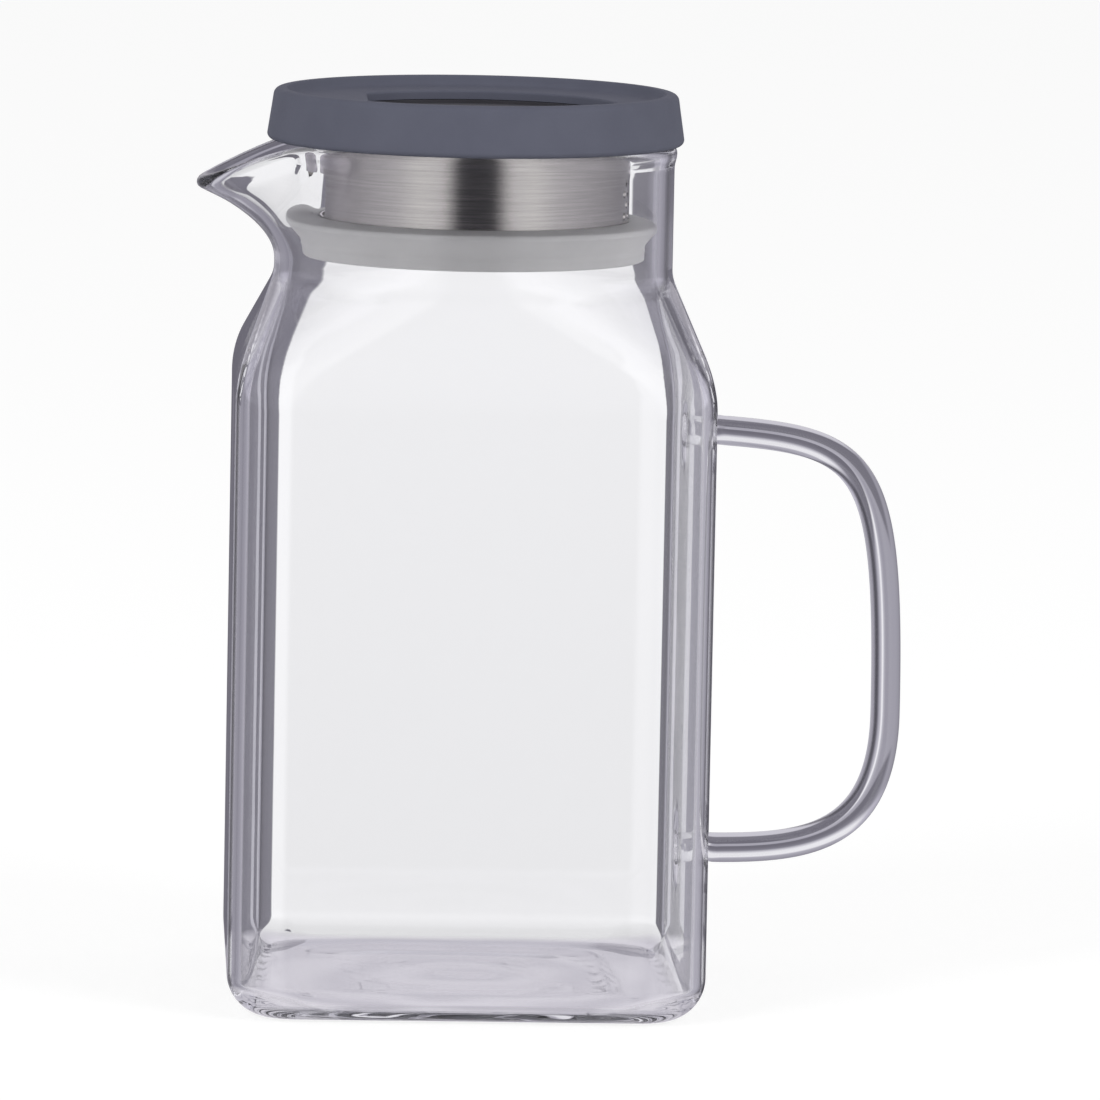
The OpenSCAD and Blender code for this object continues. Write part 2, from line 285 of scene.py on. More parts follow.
def apply_tree(piece: Piece, tree: Tree, values: dict[str, Any]) -> None:
    """Runs a Geometry Nodes tree on a piece and keeps the result as its plain mesh.

    Args:
        piece: The object that gives the tree its geometry.
        tree: The tree.
        values: Maps the name of each of the tree's inputs to its value.
    """
    modifier = piece.modifiers.new(tree.name, "NODES")
    modifier.node_group = tree
    for item in tree.interface.items_tree:
        if item.in_out == "INPUT" and item.name in values:
            modifier[item.identifier] = values[item.name]
    graph = bpy.context.evaluated_depsgraph_get()
    made = bpy.data.meshes.new_from_object(piece.evaluated_get(graph), depsgraph=graph)
    piece.modifiers.clear()
    piece.data = made


def linked(name: str, mesh: bpy.types.Mesh) -> Piece:
    """Puts a mesh into the scene as an object at the origin.

    Args:
        name: The object's name.
        mesh: Its mesh.

    Returns:
        The object.
    """
    piece = bpy.data.objects.new(name, mesh)
    bpy.context.scene.collection.objects.link(piece)
    return piece


def mesh_object(name: str, points: np.ndarray, faces: Sequence[Sequence[int]]) -> Piece:
    """Makes a smooth-shaded mesh object at the origin.

    Args:
        name: The piece's name.
        points: Positions in millimetres, one row a point.
        faces: Each face's point numbers, turning counter-clockwise seen from outside.

    Returns:
        The object, linked to the scene.
    """
    mesh = bpy.data.meshes.new(name)
    mesh.from_pydata((np.asarray(points, float) * MM).tolist(), [], [list(f) for f in faces])
    mesh.shade_smooth()
    mesh.update()
    return linked(name, mesh)


def sharpen(piece: Piece, degrees: float) -> None:
    """Marks the edges where two faces meet at more than an angle as sharp.

    Args:
        piece: The object whose mesh is marked.
        degrees: The angle between the faces' normals.
    """
    shape = bmesh.new()
    shape.from_mesh(piece.data)
    for edge in shape.edges:
        if len(edge.link_faces) == 2:
            edge.smooth = edge.calc_face_angle(0) < math.radians(degrees)
    shape.to_mesh(piece.data)
    shape.free()


def arc(centre: tuple[float, float], radius: float, start: float, end: float, steps: int) -> list:
    """Points of an arc in the plane of radius and height, by degrees: 0 points outwards and 90 up."""
    angles = np.radians(np.linspace(start, end, steps + 1))
    return [(centre[0] + radius * math.cos(a), centre[1] + radius * math.sin(a)) for a in angles]


def skin_faces(loops: int, count: int, closed: bool = False) -> list[tuple[int, ...]]:
    """Faces of a skin over loops of points that are stacked one on another.

    Args:
        loops: How many loops there are.
        count: How many points each loop has, counter-clockwise seen from above.
        closed: True if the last loop joins the first one, as round a ring.

    Returns:
        Quads that face outwards where the loops go upwards.
    """
    faces = []
    for i in range(loops if closed else loops - 1):
        low, high = i * count, (i + 1) % loops * count
        for j in range(count):
            k = (j + 1) % count
            faces.append((low + j, low + k, high + k, high + j))
    return faces


def around(radius: Any, height: float, count: int) -> np.ndarray:
    """One level loop about the jug's axis, counter-clockwise from +X, with one radius or one a point."""
    turn = np.arange(count) / count * FULL_TURN
    return np.stack([radius * np.cos(turn), radius * np.sin(turn), np.full(count, height)], 1)


def round_piece(name: str, loops: Loops, degrees: float, finish: Material) -> Piece:
    """Makes a closed piece from loops about the jug's axis.

    Args:
        name: The piece's name.
        loops: Its loops, round its section.
        degrees: The angle past which its edges are sharp.
        finish: Its material.

    Returns:
        The piece.
    """
    faces = skin_faces(len(loops), len(loops[0]), closed=True)
    piece = mesh_object(name, np.concatenate(loops), faces)
    sharpen(piece, degrees)
    piece.data.materials.append(finish)
    return piece


@dataclass(frozen=True)
class SurfaceFinish:
    """What every finish here has: a name, and a Principled material on Object coordinates."""

    name: str

    def begin(self, numbers: dict[str, Any]) -> tuple[Material, Tree, Output]:
        """Starts the material.

        Args:
            numbers: Maps the name of each uniform Principled input to its value.

        Returns:
            The material, its node tree and its Object coordinates.
        """
        finish = bpy.data.materials.new(self.name)
        finish.use_nodes = True
        tree = finish.node_tree
        for name, number in numbers.items():
            tree.nodes["Principled BSDF"].inputs[name].default_value = number
        return finish, tree, add(tree, PLACE).outputs["Object"]

    def end(self, finish: Material, patterns: dict[str, Output]) -> Material:
        """Links the material's patterns.

        Args:
            finish: The material.
            patterns: Maps the name of each Principled input to what feeds it.

        Returns:
            The same material.
        """
        tree = finish.node_tree
        for name, pattern in patterns.items():
            tree.links.new(pattern, tree.nodes["Principled BSDF"].inputs[name])
        return finish


@dataclass(frozen=True)
class ClearGlass(SurfaceFinish):
    """Borosilicate glass, blown in a mould and fire-polished: clear, glossy and faintly cool."""

    name: str = "borosilicate_glass_blown"
    tint: str = "#FEFEFF"
    ior: float = 1.473
    sway_mm: float = 24.0
    sway_strength: float = 0.02

    def material(self) -> Material:
        """Builds the glass.

        Returns:
            The material.
        """
        # Fire-polishing leaves no grain, so the eye meets only sharp light on faces that sway a little.
        numbers = {"Base Color": linear(self.tint), "Roughness": 0.0}
        numbers |= {"IOR": self.ior, "Transmission Weight": 1.0}
        finish, tree, place = self.begin(numbers)
        sway = add(tree, NOISE, {"Vector": place, "Scale": 1 / (self.sway_mm * MM), "Detail": 1.0})
        bump = add(tree, BUMP, {"Height": sway, "Strength": self.sway_strength, "Distance": MM})
        return self.end(finish, {"Normal": bump.outputs[0]})


@dataclass(frozen=True)
class MouldedFinish(SurfaceFinish):
    """A moulded soft or hard plastic: one body colour, slightly clouded, over a fine spark-eroded grain."""

    colour: str
    cloud: str
    roughness: float
    grain_mm: float
    grain_depth_mm: float
    ior: float = 1.45
    gloss: float = 0.35
    inner_scatter: float = 0.0
    scatter_mm: float = 2.0
    cloud_mm: float = 9.0
    uneven: float = 0.05

    def material(self) -> Material:
        """Builds the finish: clouded colour, uneven gloss and a fine grain.

        Returns:
            The material.
        """
        # The mould's grain gives the eye a soft, even sheen, with no sharp light anywhere. The real
        # grain is finer than the render shows, and is drawn as coarse as it needs to show.
        numbers = {"IOR": self.ior, "Specular IOR Level": self.gloss, "Subsurface Weight": self.inner_scatter}
        numbers |= {"Subsurface Radius": (1.0, 1.0, 1.0), "Subsurface Scale": self.scatter_mm * MM}
        finish, tree, place = self.begin(numbers)
        cloud = add(tree, NOISE, {"Vector": place, "Scale": 1 / (self.cloud_mm * MM), "Detail": 4.0})
        share = add(tree, SPAN, (cloud, *NOISE_SPAN))
        tones = {0: share, 6: linear(self.colour), 7: linear(self.cloud)}
        colour = add(tree, MIX, tones, data_type="RGBA").outputs[2]
        grain = add(tree, NOISE, {"Vector": place, "Scale": 1 / (self.grain_mm * MM), "Detail": 2.0})
        dull, shiny = self.roughness + self.uneven, self.roughness - self.uneven
        rough = add(tree, SPAN, (grain, *NOISE_SPAN, shiny, dull))
        bump = add(tree, BUMP, {"Height": grain, "Strength": 1.0, "Distance": self.grain_depth_mm * MM})
        patterns = {"Base Color": colour, "Roughness": rough.outputs[0], "Normal": bump.outputs[0]}
        return self.end(finish, patterns)


@dataclass(frozen=True)
class BrushedSteel(SurfaceFinish):
    """Stainless steel sheet, drawn to a collar and brushed round it: fine level lines and streaked gloss."""

    name: str = "stainless_steel_brushed"
    light: str = "#CFCBC8"
    dark: str = "#B4B0AE"
    roughness: float = 0.22
    uneven: float = 0.05
    line_mm: float = 0.3
    line_length_mm: float = 18.0
    line_depth_mm: float = 0.02

    def material(self) -> Material:
        """Builds the steel, with brush lines that run round the axis.

        Returns:
            The material.
        """
        # Brushing spreads light across its lines, so the eye meets tall soft bands. Its real lines
        # are finer than the render shows, and are drawn as coarse as they need to show.
        finish, tree, place = self.begin({"Metallic": 1.0, "Anisotropic": 0.75, "Anisotropic Rotation": 0.25})
        along, across = 1 / (self.line_length_mm * MM), 1 / (self.line_mm * MM)
        drawn = add(tree, "ShaderNodeMapping", {"Vector": place, "Scale": (along, along, across)})
        lines = add(tree, NOISE, {"Vector": drawn, "Scale": 1.0, "Detail": 5.0, "Roughness": 0.65})
        share = add(tree, SPAN, (lines, *NOISE_SPAN))
        tones = {0: share, 6: linear(self.dark), 7: linear(self.light)}
        colour = add(tree, MIX, tones, data_type="RGBA").outputs[2]
        dull, shiny = self.roughness + self.uneven, self.roughness - self.uneven
        rough = add(tree, SPAN, (lines, 0.25, 0.75, shiny, dull))
        bump = add(tree, BUMP, {"Height": lines, "Strength": 0.5, "Distance": self.line_depth_mm * MM})
        tangent = add(tree, "ShaderNodeTangent", direction_type="RADIAL", axis="Z")
        patterns = {"Base Color": colour, "Roughness": rough.outputs[0]}
        patterns |= {"Normal": bump.outputs[0], "Tangent": tangent.outputs[0]}
        return self.end(finish, patterns)


@dataclass
class GlassBody:
    """The mould-blown square body with its shoulder, neck, fire-polished rim and pulled spout."""

    half: float
    rim_z: float
    corner_r: float = 14.0
    base_r: float = 9.0
    wall: float = 2.7
    base_t: float = 3.4
    heel_r: float = 4.5
    heel_round: float = 0.4
    shoulder_z: float = 127.5
    shoulder_h: float = 26.5
    bend_in: float = 0.42
    bend_out: float = 0.13
    neck_r: float = 41.9
    neck_wall: float = 3.1
    rim_bead: float = 0.5
    spout_out: float = 15.2
    spout_drop: float = 9.0
    spout_angle: float = 33.0
    spout_rise: float = 1.0
    lip_wall: float = 2.4
    base_push: float = 0.9
    base_disc: float = 0.9
    base_ripple: float = 0.45
    ripple_turns: float = 2.4
    ripple_sway: float = 0.06
    ripple_lag: float = 0.6
    flat_steps: int = 36
    corner_steps: int = 24
    base_steps: int = 18
    fillet_steps: int = 12
    heel_steps: int = 16
    shoulder_steps: int = 30
    neck_steps: int = 36
    rim_steps: int = 10
    wall_step: float = 2.17

    @property
    def neck_z(self) -> float:
        """Height at which the shoulder meets the neck."""
        return self.shoulder_z + self.shoulder_h

    @property
    def count(self) -> int:
        """Points of one loop round the body."""
        return 4 * (self.flat_steps + self.corner_steps)

    def shares(self, flat: float, corner: float) -> np.ndarray:
        """Shares of a quarter outline at which the points lie, close together round the corner.

        Args:
            flat: Half of the straight side's length.
            corner: The corner's radius.

        Returns:
            One share a point, from the middle of a side to the middle of the next one.
        """
        bend = corner * RIGHT_ANGLE
        half_steps = self.flat_steps // 2
        first = np.linspace(0, flat, half_steps, endpoint=False)
        turned = flat + np.linspace(0, bend, self.corner_steps, endpoint=False)
        last = flat + bend + np.linspace(0, flat, half_steps, endpoint=False)
        return np.concatenate([first, turned, last]) / (2 * flat + bend)

    def ring(self, half: float, corner: float, height: Any, roundness: float = 0.0) -> np.ndarray:
        """A level loop round a rounded square.

        Args:
            half: Half of the square's width.
            corner: Its corners' radius.
            height: Its height.
            roundness: 0 on the body, growing to 1 where the loop is a circle.

        Returns:
            The loop's points, from the middle of the +X side on.
        """
        flat, bend = half - corner, corner * RIGHT_ANGLE
        at_wall = self.shares(self.half - self.corner_r, self.corner_r)
        own = self.shares(flat, corner) if flat > 0 else at_wall
        run = ((1 - roundness) * own + roundness * at_wall) * (2 * flat + bend)
        turn = np.clip((run - flat) / max(corner, 1e-9), 0, RIGHT_ANGLE)
        x = flat + corner * np.cos(turn) - np.clip(run - flat - bend, 0, None)
        y = np.minimum(run, flat) + corner * np.sin(turn)
        quarters = [(x, y), (-y, x), (-x, -y), (y, -x)]
        level = np.concatenate([np.stack(q, 1) for q in quarters])
        return np.column_stack([level, np.broadcast_to(height, len(level))])

    def fillet(self) -> Loops:
        """The outer quarter-round between the base and the wall.

        Returns:
            Its loops, from the base up.
        """
        loops = []
        for t in np.linspace(0, RIGHT_ANGLE, self.fillet_steps + 1):
            inset = self.base_r * (1 - math.sin(t))
            loops.append(self.ring(self.half - inset, self.corner_r - inset, self.base_r * (1 - math.cos(t))))
        return loops

    def heel(self) -> Loops:
        """The inner quarter-round, whose corners round off further towards the base.

        Returns:
            Its loops, from the base up.
        """
        loops = []
        upright = self.corner_r - self.wall
        for t in np.linspace(0, RIGHT_ANGLE, self.heel_steps + 1):
            half = self.half - self.wall - self.heel_r * (1 - math.sin(t))
            corner = self.heel_round * half + (upright - self.heel_round * half) * math.sin(t)
            loops.append(self.ring(half, corner, self.base_t + self.heel_r * (1 - math.cos(t))))
        return loops

    def drawn_in(self, k: float) -> tuple[float, float]:
        """How far the shoulder has drawn in at a height, in an S-curve.

        Args:
            k: The share of the shoulder's height.

        Returns:
            The share that it has drawn in, and how fast it does so there.
        """
        total = 1 - (self.bend_in + self.bend_out) / 2
        if k < self.bend_in:
            return k * k / (2 * self.bend_in * total), k / (self.bend_in * total)
        if k > 1 - self.bend_out:
            left = 1 - k
            return 1 - left * left / (2 * self.bend_out * total), left / (self.bend_out * total)
        return (k - self.bend_in / 2) / total, 1 / total

    def shoulder(self, k: float, depth: float) -> np.ndarray:
        """One loop of the shoulder.

        Args:
            k: The share of the shoulder's height.
            depth: How deep in the glass it lies, 0 on the outer face.

        Returns:
            The loop's points.
        """
        share, speed = self.drawn_in(k)
        lean = math.atan(speed * (self.half - self.neck_r) / self.shoulder_h)
        inward = depth * math.cos(lean)
        half = self.half + (self.neck_r - self.half) * share - inward
        corner = self.corner_r + (self.neck_r - self.corner_r) * share - inward
        return self.ring(half, corner, self.shoulder_z + k * self.shoulder_h - depth * math.sin(lean), share)

    def neck_turns(self) -> np.ndarray:
        """Angles in degrees of the points of a round loop."""
        quarter_shares = self.shares(self.half - self.corner_r, self.corner_r)
        return np.concatenate([90 * (q + quarter_shares) for q in range(4)])

    def lip(self, turn: np.ndarray) -> np.ndarray:
        """How far into the spout directions in degrees are: 1 at its middle, falling to 0 at its sides."""
        off = 180 - np.abs((turn + 180) % 360 - 180)
        return np.where(off < self.spout_angle, np.cos(np.radians(90 * off / self.spout_angle)) ** 2, 0)

    def edge(self, turn: np.ndarray) -> np.ndarray:
        """Height at which the rim's rounding starts."""
        return self.rim_z - self.neck_wall / 2 - self.spout_drop * self.lip(turn)

    def pull(self, z: np.ndarray, turn: np.ndarray) -> np.ndarray:
        """How far the spout has been pulled out at a height, from 0 to 1 at the edge."""
        low = self.neck_z + self.spout_rise
        return (np.clip(z - low, 0, None) / (self.edge(turn) - low)) ** 2

    def bead(self, z: np.ndarray, turn: np.ndarray) -> np.ndarray:
        """How far the fire-polished rim stands out at a height."""
        t = np.clip((z - self.edge(turn) + self.neck_wall) / self.neck_wall, 0, 1)
        return self.rim_bead * np.sin(t * RIGHT_ANGLE) ** 2

    def neck_point(self, turn: np.ndarray, s: float) -> np.ndarray:
        """Outer points of the neck.

        Args:
            turn: Their angles in degrees.
            s: The share of the neck's height.

        Returns:
            The points.
        """
        z = self.neck_z + (self.edge(turn) - self.neck_z) * s
        r = self.neck_r + self.spout_out * self.lip(turn) * self.pull(z, turn) + self.bead(z, turn)
        a = np.radians(turn)
        return np.stack([r * np.cos(a), r * np.sin(a), z], 1)

    def neck_axes(self, s: float) -> tuple[np.ndarray, np.ndarray, np.ndarray, np.ndarray]:
        """Where the neck's outer face is at a height, and how it lies there.

        Args:
            s: The share of the neck's height.

        Returns:
            The points, their outward and upward directions, and the glass's thickness at them.
        """
        turn = self.neck_turns()
        point = self.neck_point(turn, s)
        up = self.neck_point(turn, s + 0.01) - self.neck_point(turn, s - 0.01)
        side = self.neck_point(turn + 0.5, s) - self.neck_point(turn - 0.5, s)
        out = np.cross(side, up)
        out /= np.linalg.norm(out, axis=1, keepdims=True)
        up /= np.linalg.norm(up, axis=1, keepdims=True)
        z = point[:, 2]
        pulled = self.lip(turn) * self.pull(z, turn)
        thick = self.neck_wall + (self.lip_wall - self.neck_wall) * pulled + self.bead(z, turn)
        return point, out, up, thick[:, None]

    def neck(self, s: float, inside: bool) -> np.ndarray:
        """The neck's loop at share s of its height, on the outer or the inner face."""
        point, out, _, thick = self.neck_axes(s)
        return point - thick * out if inside else point

    def rim(self) -> Loops:
        """The rounded rim.

        Returns:
            Its loops, from the outer face to the inner one.
        """
        point, out, up, thick = self.neck_axes(1.0)
        middle = point - thick / 2 * out
        turns = np.linspace(0, math.pi, self.rim_steps + 1)[1:-1]
        return [middle + thick / 2 * (math.cos(t) * out + math.sin(t) * up) for t in turns]

    def base_loops(self, half: float, corner: float, height: Callable) -> Loops:
        """Loops over a flat base, from near its middle to its edge.

        Args:
            half: Half of the flat's width.
            corner: The flat's corner radius.
            height: Gives the surface's height at a share of the way out and at each point.

        Returns:
            The loops.
        """
        loops = []
        for share in np.linspace(0, 1, self.base_steps + 1)[1:-1]:
            rounded = max(corner, half * (1 - share) * self.base_disc)
            loop = self.ring(half * share, rounded * share, 0.0)
            loop[:, 2] = height(share, loop)
            loops.append(loop)
        return loops

    def under_base(self, share: float, loop: np.ndarray) -> np.ndarray:
        """Height of the base's underside, which is pushed up in its middle."""
        return np.full(len(loop), self.base_push * (1 - share**2) ** 2)

    def over_base(self, share: float, loop: np.ndarray) -> np.ndarray:
        """Height of the base's upper side, where the glass has flowed in soft rings.

        Args:
            share: The share of the way out.
            loop: The points there.

        Returns:
            One height a point.
        """
        turn = np.arctan2(loop[:, 1], loop[:, 0])
        sway = self.ripple_sway * np.sin(2 * turn + self.ripple_lag)
        wave = np.cos(FULL_TURN * (self.ripple_turns * share + sway))
        rise = self.base_push * (1 - share**2) ** 2
        return self.base_t + rise + self.base_ripple * wave * share * (1 - share**4)

    def wall_levels(self, low: float, zones: Sequence[tuple[float, float]]) -> list[float]:
        """Heights of the loops of the wall, with even steps inside each weld's zone.

        Args:
            low: The height at which the wall starts.
            zones: Lowest and highest level of each weld's zone, in rising order.

        Returns:
            The heights between the wall's start and the shoulder.
        """
        stops = [low, *(level for zone in zones for level in zone), self.shoulder_z]
        levels = [low]
        for a, b in zip(stops, stops[1:]):
            levels += list(np.linspace(a, b, max(2, round((b - a) / self.wall_step)) + 1)[1:])
        return levels[1:-1]

    def loops(self, zones: Sequence[tuple[float, float]]) -> Loops:
        """All loops of the skin, from the middle of the underside over the rim to the inner base.

        Args:
            zones: Lowest and highest level of each weld's zone on the wall, in rising order.

        Returns:
            The loops in order.
        """
        half, corner, wall = self.half, self.corner_r, self.wall
        inner_half, inner_corner = half - wall, corner - wall
        floor_half = inner_half - self.heel_r
        shares = np.linspace(0, 1, self.shoulder_steps + 1)
        rises = np.linspace(0, 1, self.neck_steps + 1)[1:]
        depths = wall + (self.neck_wall - wall) * shares
        outer = self.base_loops(half - self.base_r, corner - self.base_r, self.under_base)
        outer += self.fillet()
        outer += [self.ring(half, corner, z) for z in self.wall_levels(self.base_r, zones)]
        outer += [self.shoulder(k, 0.0) for k in shares]
        outer += [self.neck(s, False) for s in rises]
        inner = self.base_loops(floor_half, self.heel_round * floor_half, self.over_base)
        inner += self.heel()
        inner_levels = self.wall_levels(self.base_t + self.heel_r, zones)
        inner += [self.ring(inner_half, inner_corner, z) for z in inner_levels]
        inner += [self.shoulder(k, d) for k, d in zip(shares, depths)]
        inner += [self.neck(s, True) for s in rises]
        return outer + self.rim() + inner[::-1]


@dataclass
class RodHandle:
    """The solid rod handle: a flattened rod that leaves the wall in two welds and bows out between them."""

    wall_x: float
    grip_reach: float = 38.99
    thick: float = 6.2
    width: float = 9.0
    top_z: float = 120.2
    low_z: float = 31.0
    grip_z: float = 60.6
    fall: float = 3.7
    arm_top: float = 33.5
    arm_low: float = 21.4
    grip_up: float = 56.0
    grip_down: float = 29.0
    weld_spread: float = 1.2
    weld_len: float = 2.2
    weld_lump: float = 0.55
    lump_size: float = 2.4
    lump_start: float = 0.4
    lump_reach: float = 4.5
    sides: int = 32
    curve_steps: int = 70
    in_weld: tuple = (0, 0.02, 0.08, 0.18, 0.3, 0.45, 0.62, 0.8, 1)
    past_weld: tuple = (1.25, 1.5, 1.8, 2.2, 2.7, 3.4)

    def half(self, start: np.ndarray, arm: np.ndarray, grip: np.ndarray) -> np.ndarray:
        """Points of one half of the rod's middle line, from its weld to the widest place of the grip.

        Args:
            start: The weld's middle.
            arm: The way in which the rod leaves the wall, as long as it pulls on the curve.
            grip: The way from the widest place back along the grip, as long as it pulls.

        Returns:
            Points in the XZ plane, close together at the weld.
        """
        middle = np.array([self.wall_x + self.grip_reach, self.grip_z])
        weld = self.weld_len / (3 * np.linalg.norm(arm))
        at_weld = np.array(self.in_weld + self.past_weld) * weld
        t = np.concatenate([at_weld, np.linspace(at_weld[-1], 1, self.curve_steps + 1)[1:]])[:, None]
        u = 1 - t
        return start * u**3 + (start + arm) * 3 * u * u * t + (middle + grip) * 3 * u * t * t + middle * t**3

    def line(self) -> tuple[np.ndarray, np.ndarray]:
        """The rod's middle line.

        Returns:
            Its points, and how much wider than the rod each of them is.
        """
        fall = math.radians(self.fall)
        leaving = np.array([math.cos(fall), -math.sin(fall)]) * self.arm_top
        top = self.half(np.array([self.wall_x, self.top_z]), leaving, np.array([0, self.grip_up]))
        arm, grip = np.array([self.arm_low, 0]), np.array([0, -self.grip_down])
        low = self.half(np.array([self.wall_x, self.low_z]), arm, grip)
        line = np.concatenate([top, low[-2::-1]])
        line[1, 1], line[-2, 1] = self.top_z, self.low_z
        flare = (1 - np.sqrt(1 - (1 - np.array(self.in_weld)) ** 2)) * self.weld_spread / (self.thick / 2)
        swell = np.ones(len(line))
        swell[: len(flare)] += flare
        swell[-len(flare) :] += flare[::-1]
        return line, swell

    def sweep_tree(self) -> Tree:
        """Builds the tree that sweeps an oval along a path, and makes it lumpy near the wall.

        Returns:
            The tree.
        """
        numbers = ("Thickness", "Width", "Lump size", "Lump height")
        inputs = {Socket.SHAPE: ["Path"], Socket.NUMBER: numbers, Socket.COUNT: ["Sides"]}
        tree, given = start_tree("rod_sweep", {**inputs, Socket.FINISH: ["Finish"]}, "Rod")
        swell = add(tree, "GeometryNodeInputNamedAttribute", {"Name": "swell"}, data_type="FLOAT")
        path = add(tree, "GeometryNodeMeshToCurve", {"Mesh": given["Path"]})
        sized = add(tree, "GeometryNodeSetCurveRadius", {"Curve": path, "Radius": swell})
        oval = add(tree, "GeometryNodeCurvePrimitiveCircle", {"Resolution": given["Sides"], "Radius": 0.5})
        spread = add(tree, JOIN_XYZ, (given["Width"], given["Thickness"], 1.0))
        shaped = add(tree, "GeometryNodeTransform", {"Geometry": oval, "Scale": spread})
        rod = add(tree, "GeometryNodeCurveToMesh", {"Curve": sized, "Profile Curve": shaped})
        near_wall = add(tree, "GeometryNodeInputNamedAttribute", {"Name": "near_wall"}, data_type="FLOAT")
        fineness = add(tree, MATH, (1.0, given["Lump size"]), operation="DIVIDE")
        uneven = add(tree, NOISE, {"Scale": fineness, "Detail": 1.0})
        centred = add(tree, MATH, (uneven, 0.5), operation="SUBTRACT")
        rise = add(tree, MATH, (centred, given["Lump height"]), operation="MULTIPLY")
        faded = add(tree, MATH, (rise, near_wall), operation="MULTIPLY")
        outward = add(tree, "GeometryNodeInputNormal")
        shift = add(tree, VECTOR_MATH, {0: outward, "Scale": faded}, operation="SCALE")
        lumpy = add(tree, "GeometryNodeSetPosition", {"Geometry": rod, "Offset": shift})
        return end_tree(tree, lumpy, given["Finish"])

    def build(self, finish: Material) -> Piece:
        """Sweeps the rod, open at both ends, which lie flat on the wall.

        Args:
            finish: The glass.

        Returns:
            The rod as a plain mesh.
        """
        line, swell = self.line()
        points = np.column_stack([line[:, 0], np.zeros(len(line)), line[:, 1]]) * MM
        mesh = bpy.data.meshes.new("rod")
        mesh.from_pydata(points.tolist(), [(i, i + 1) for i in range(len(line) - 1)], [])
        out = line[:, 0] - self.wall_x
        near_wall = np.clip(out / self.lump_start, 0, 1) * np.clip(1 - out / self.lump_reach, 0, 1)
        for name, values in (("swell", swell), ("near_wall", near_wall)):
            mesh.attributes.new(name, "FLOAT", "POINT").data.foreach_set("value", values)
        rod = linked("rod", mesh)
        sizes = {"Thickness": self.thick, "Width": self.width}
        sizes |= {"Lump size": self.lump_size, "Lump height": 2 * self.weld_lump}
        values = {name: size * MM for name, size in sizes.items()}
        apply_tree(rod, self.sweep_tree(), {**values, "Sides": self.sides, "Finish": finish})
        return rod


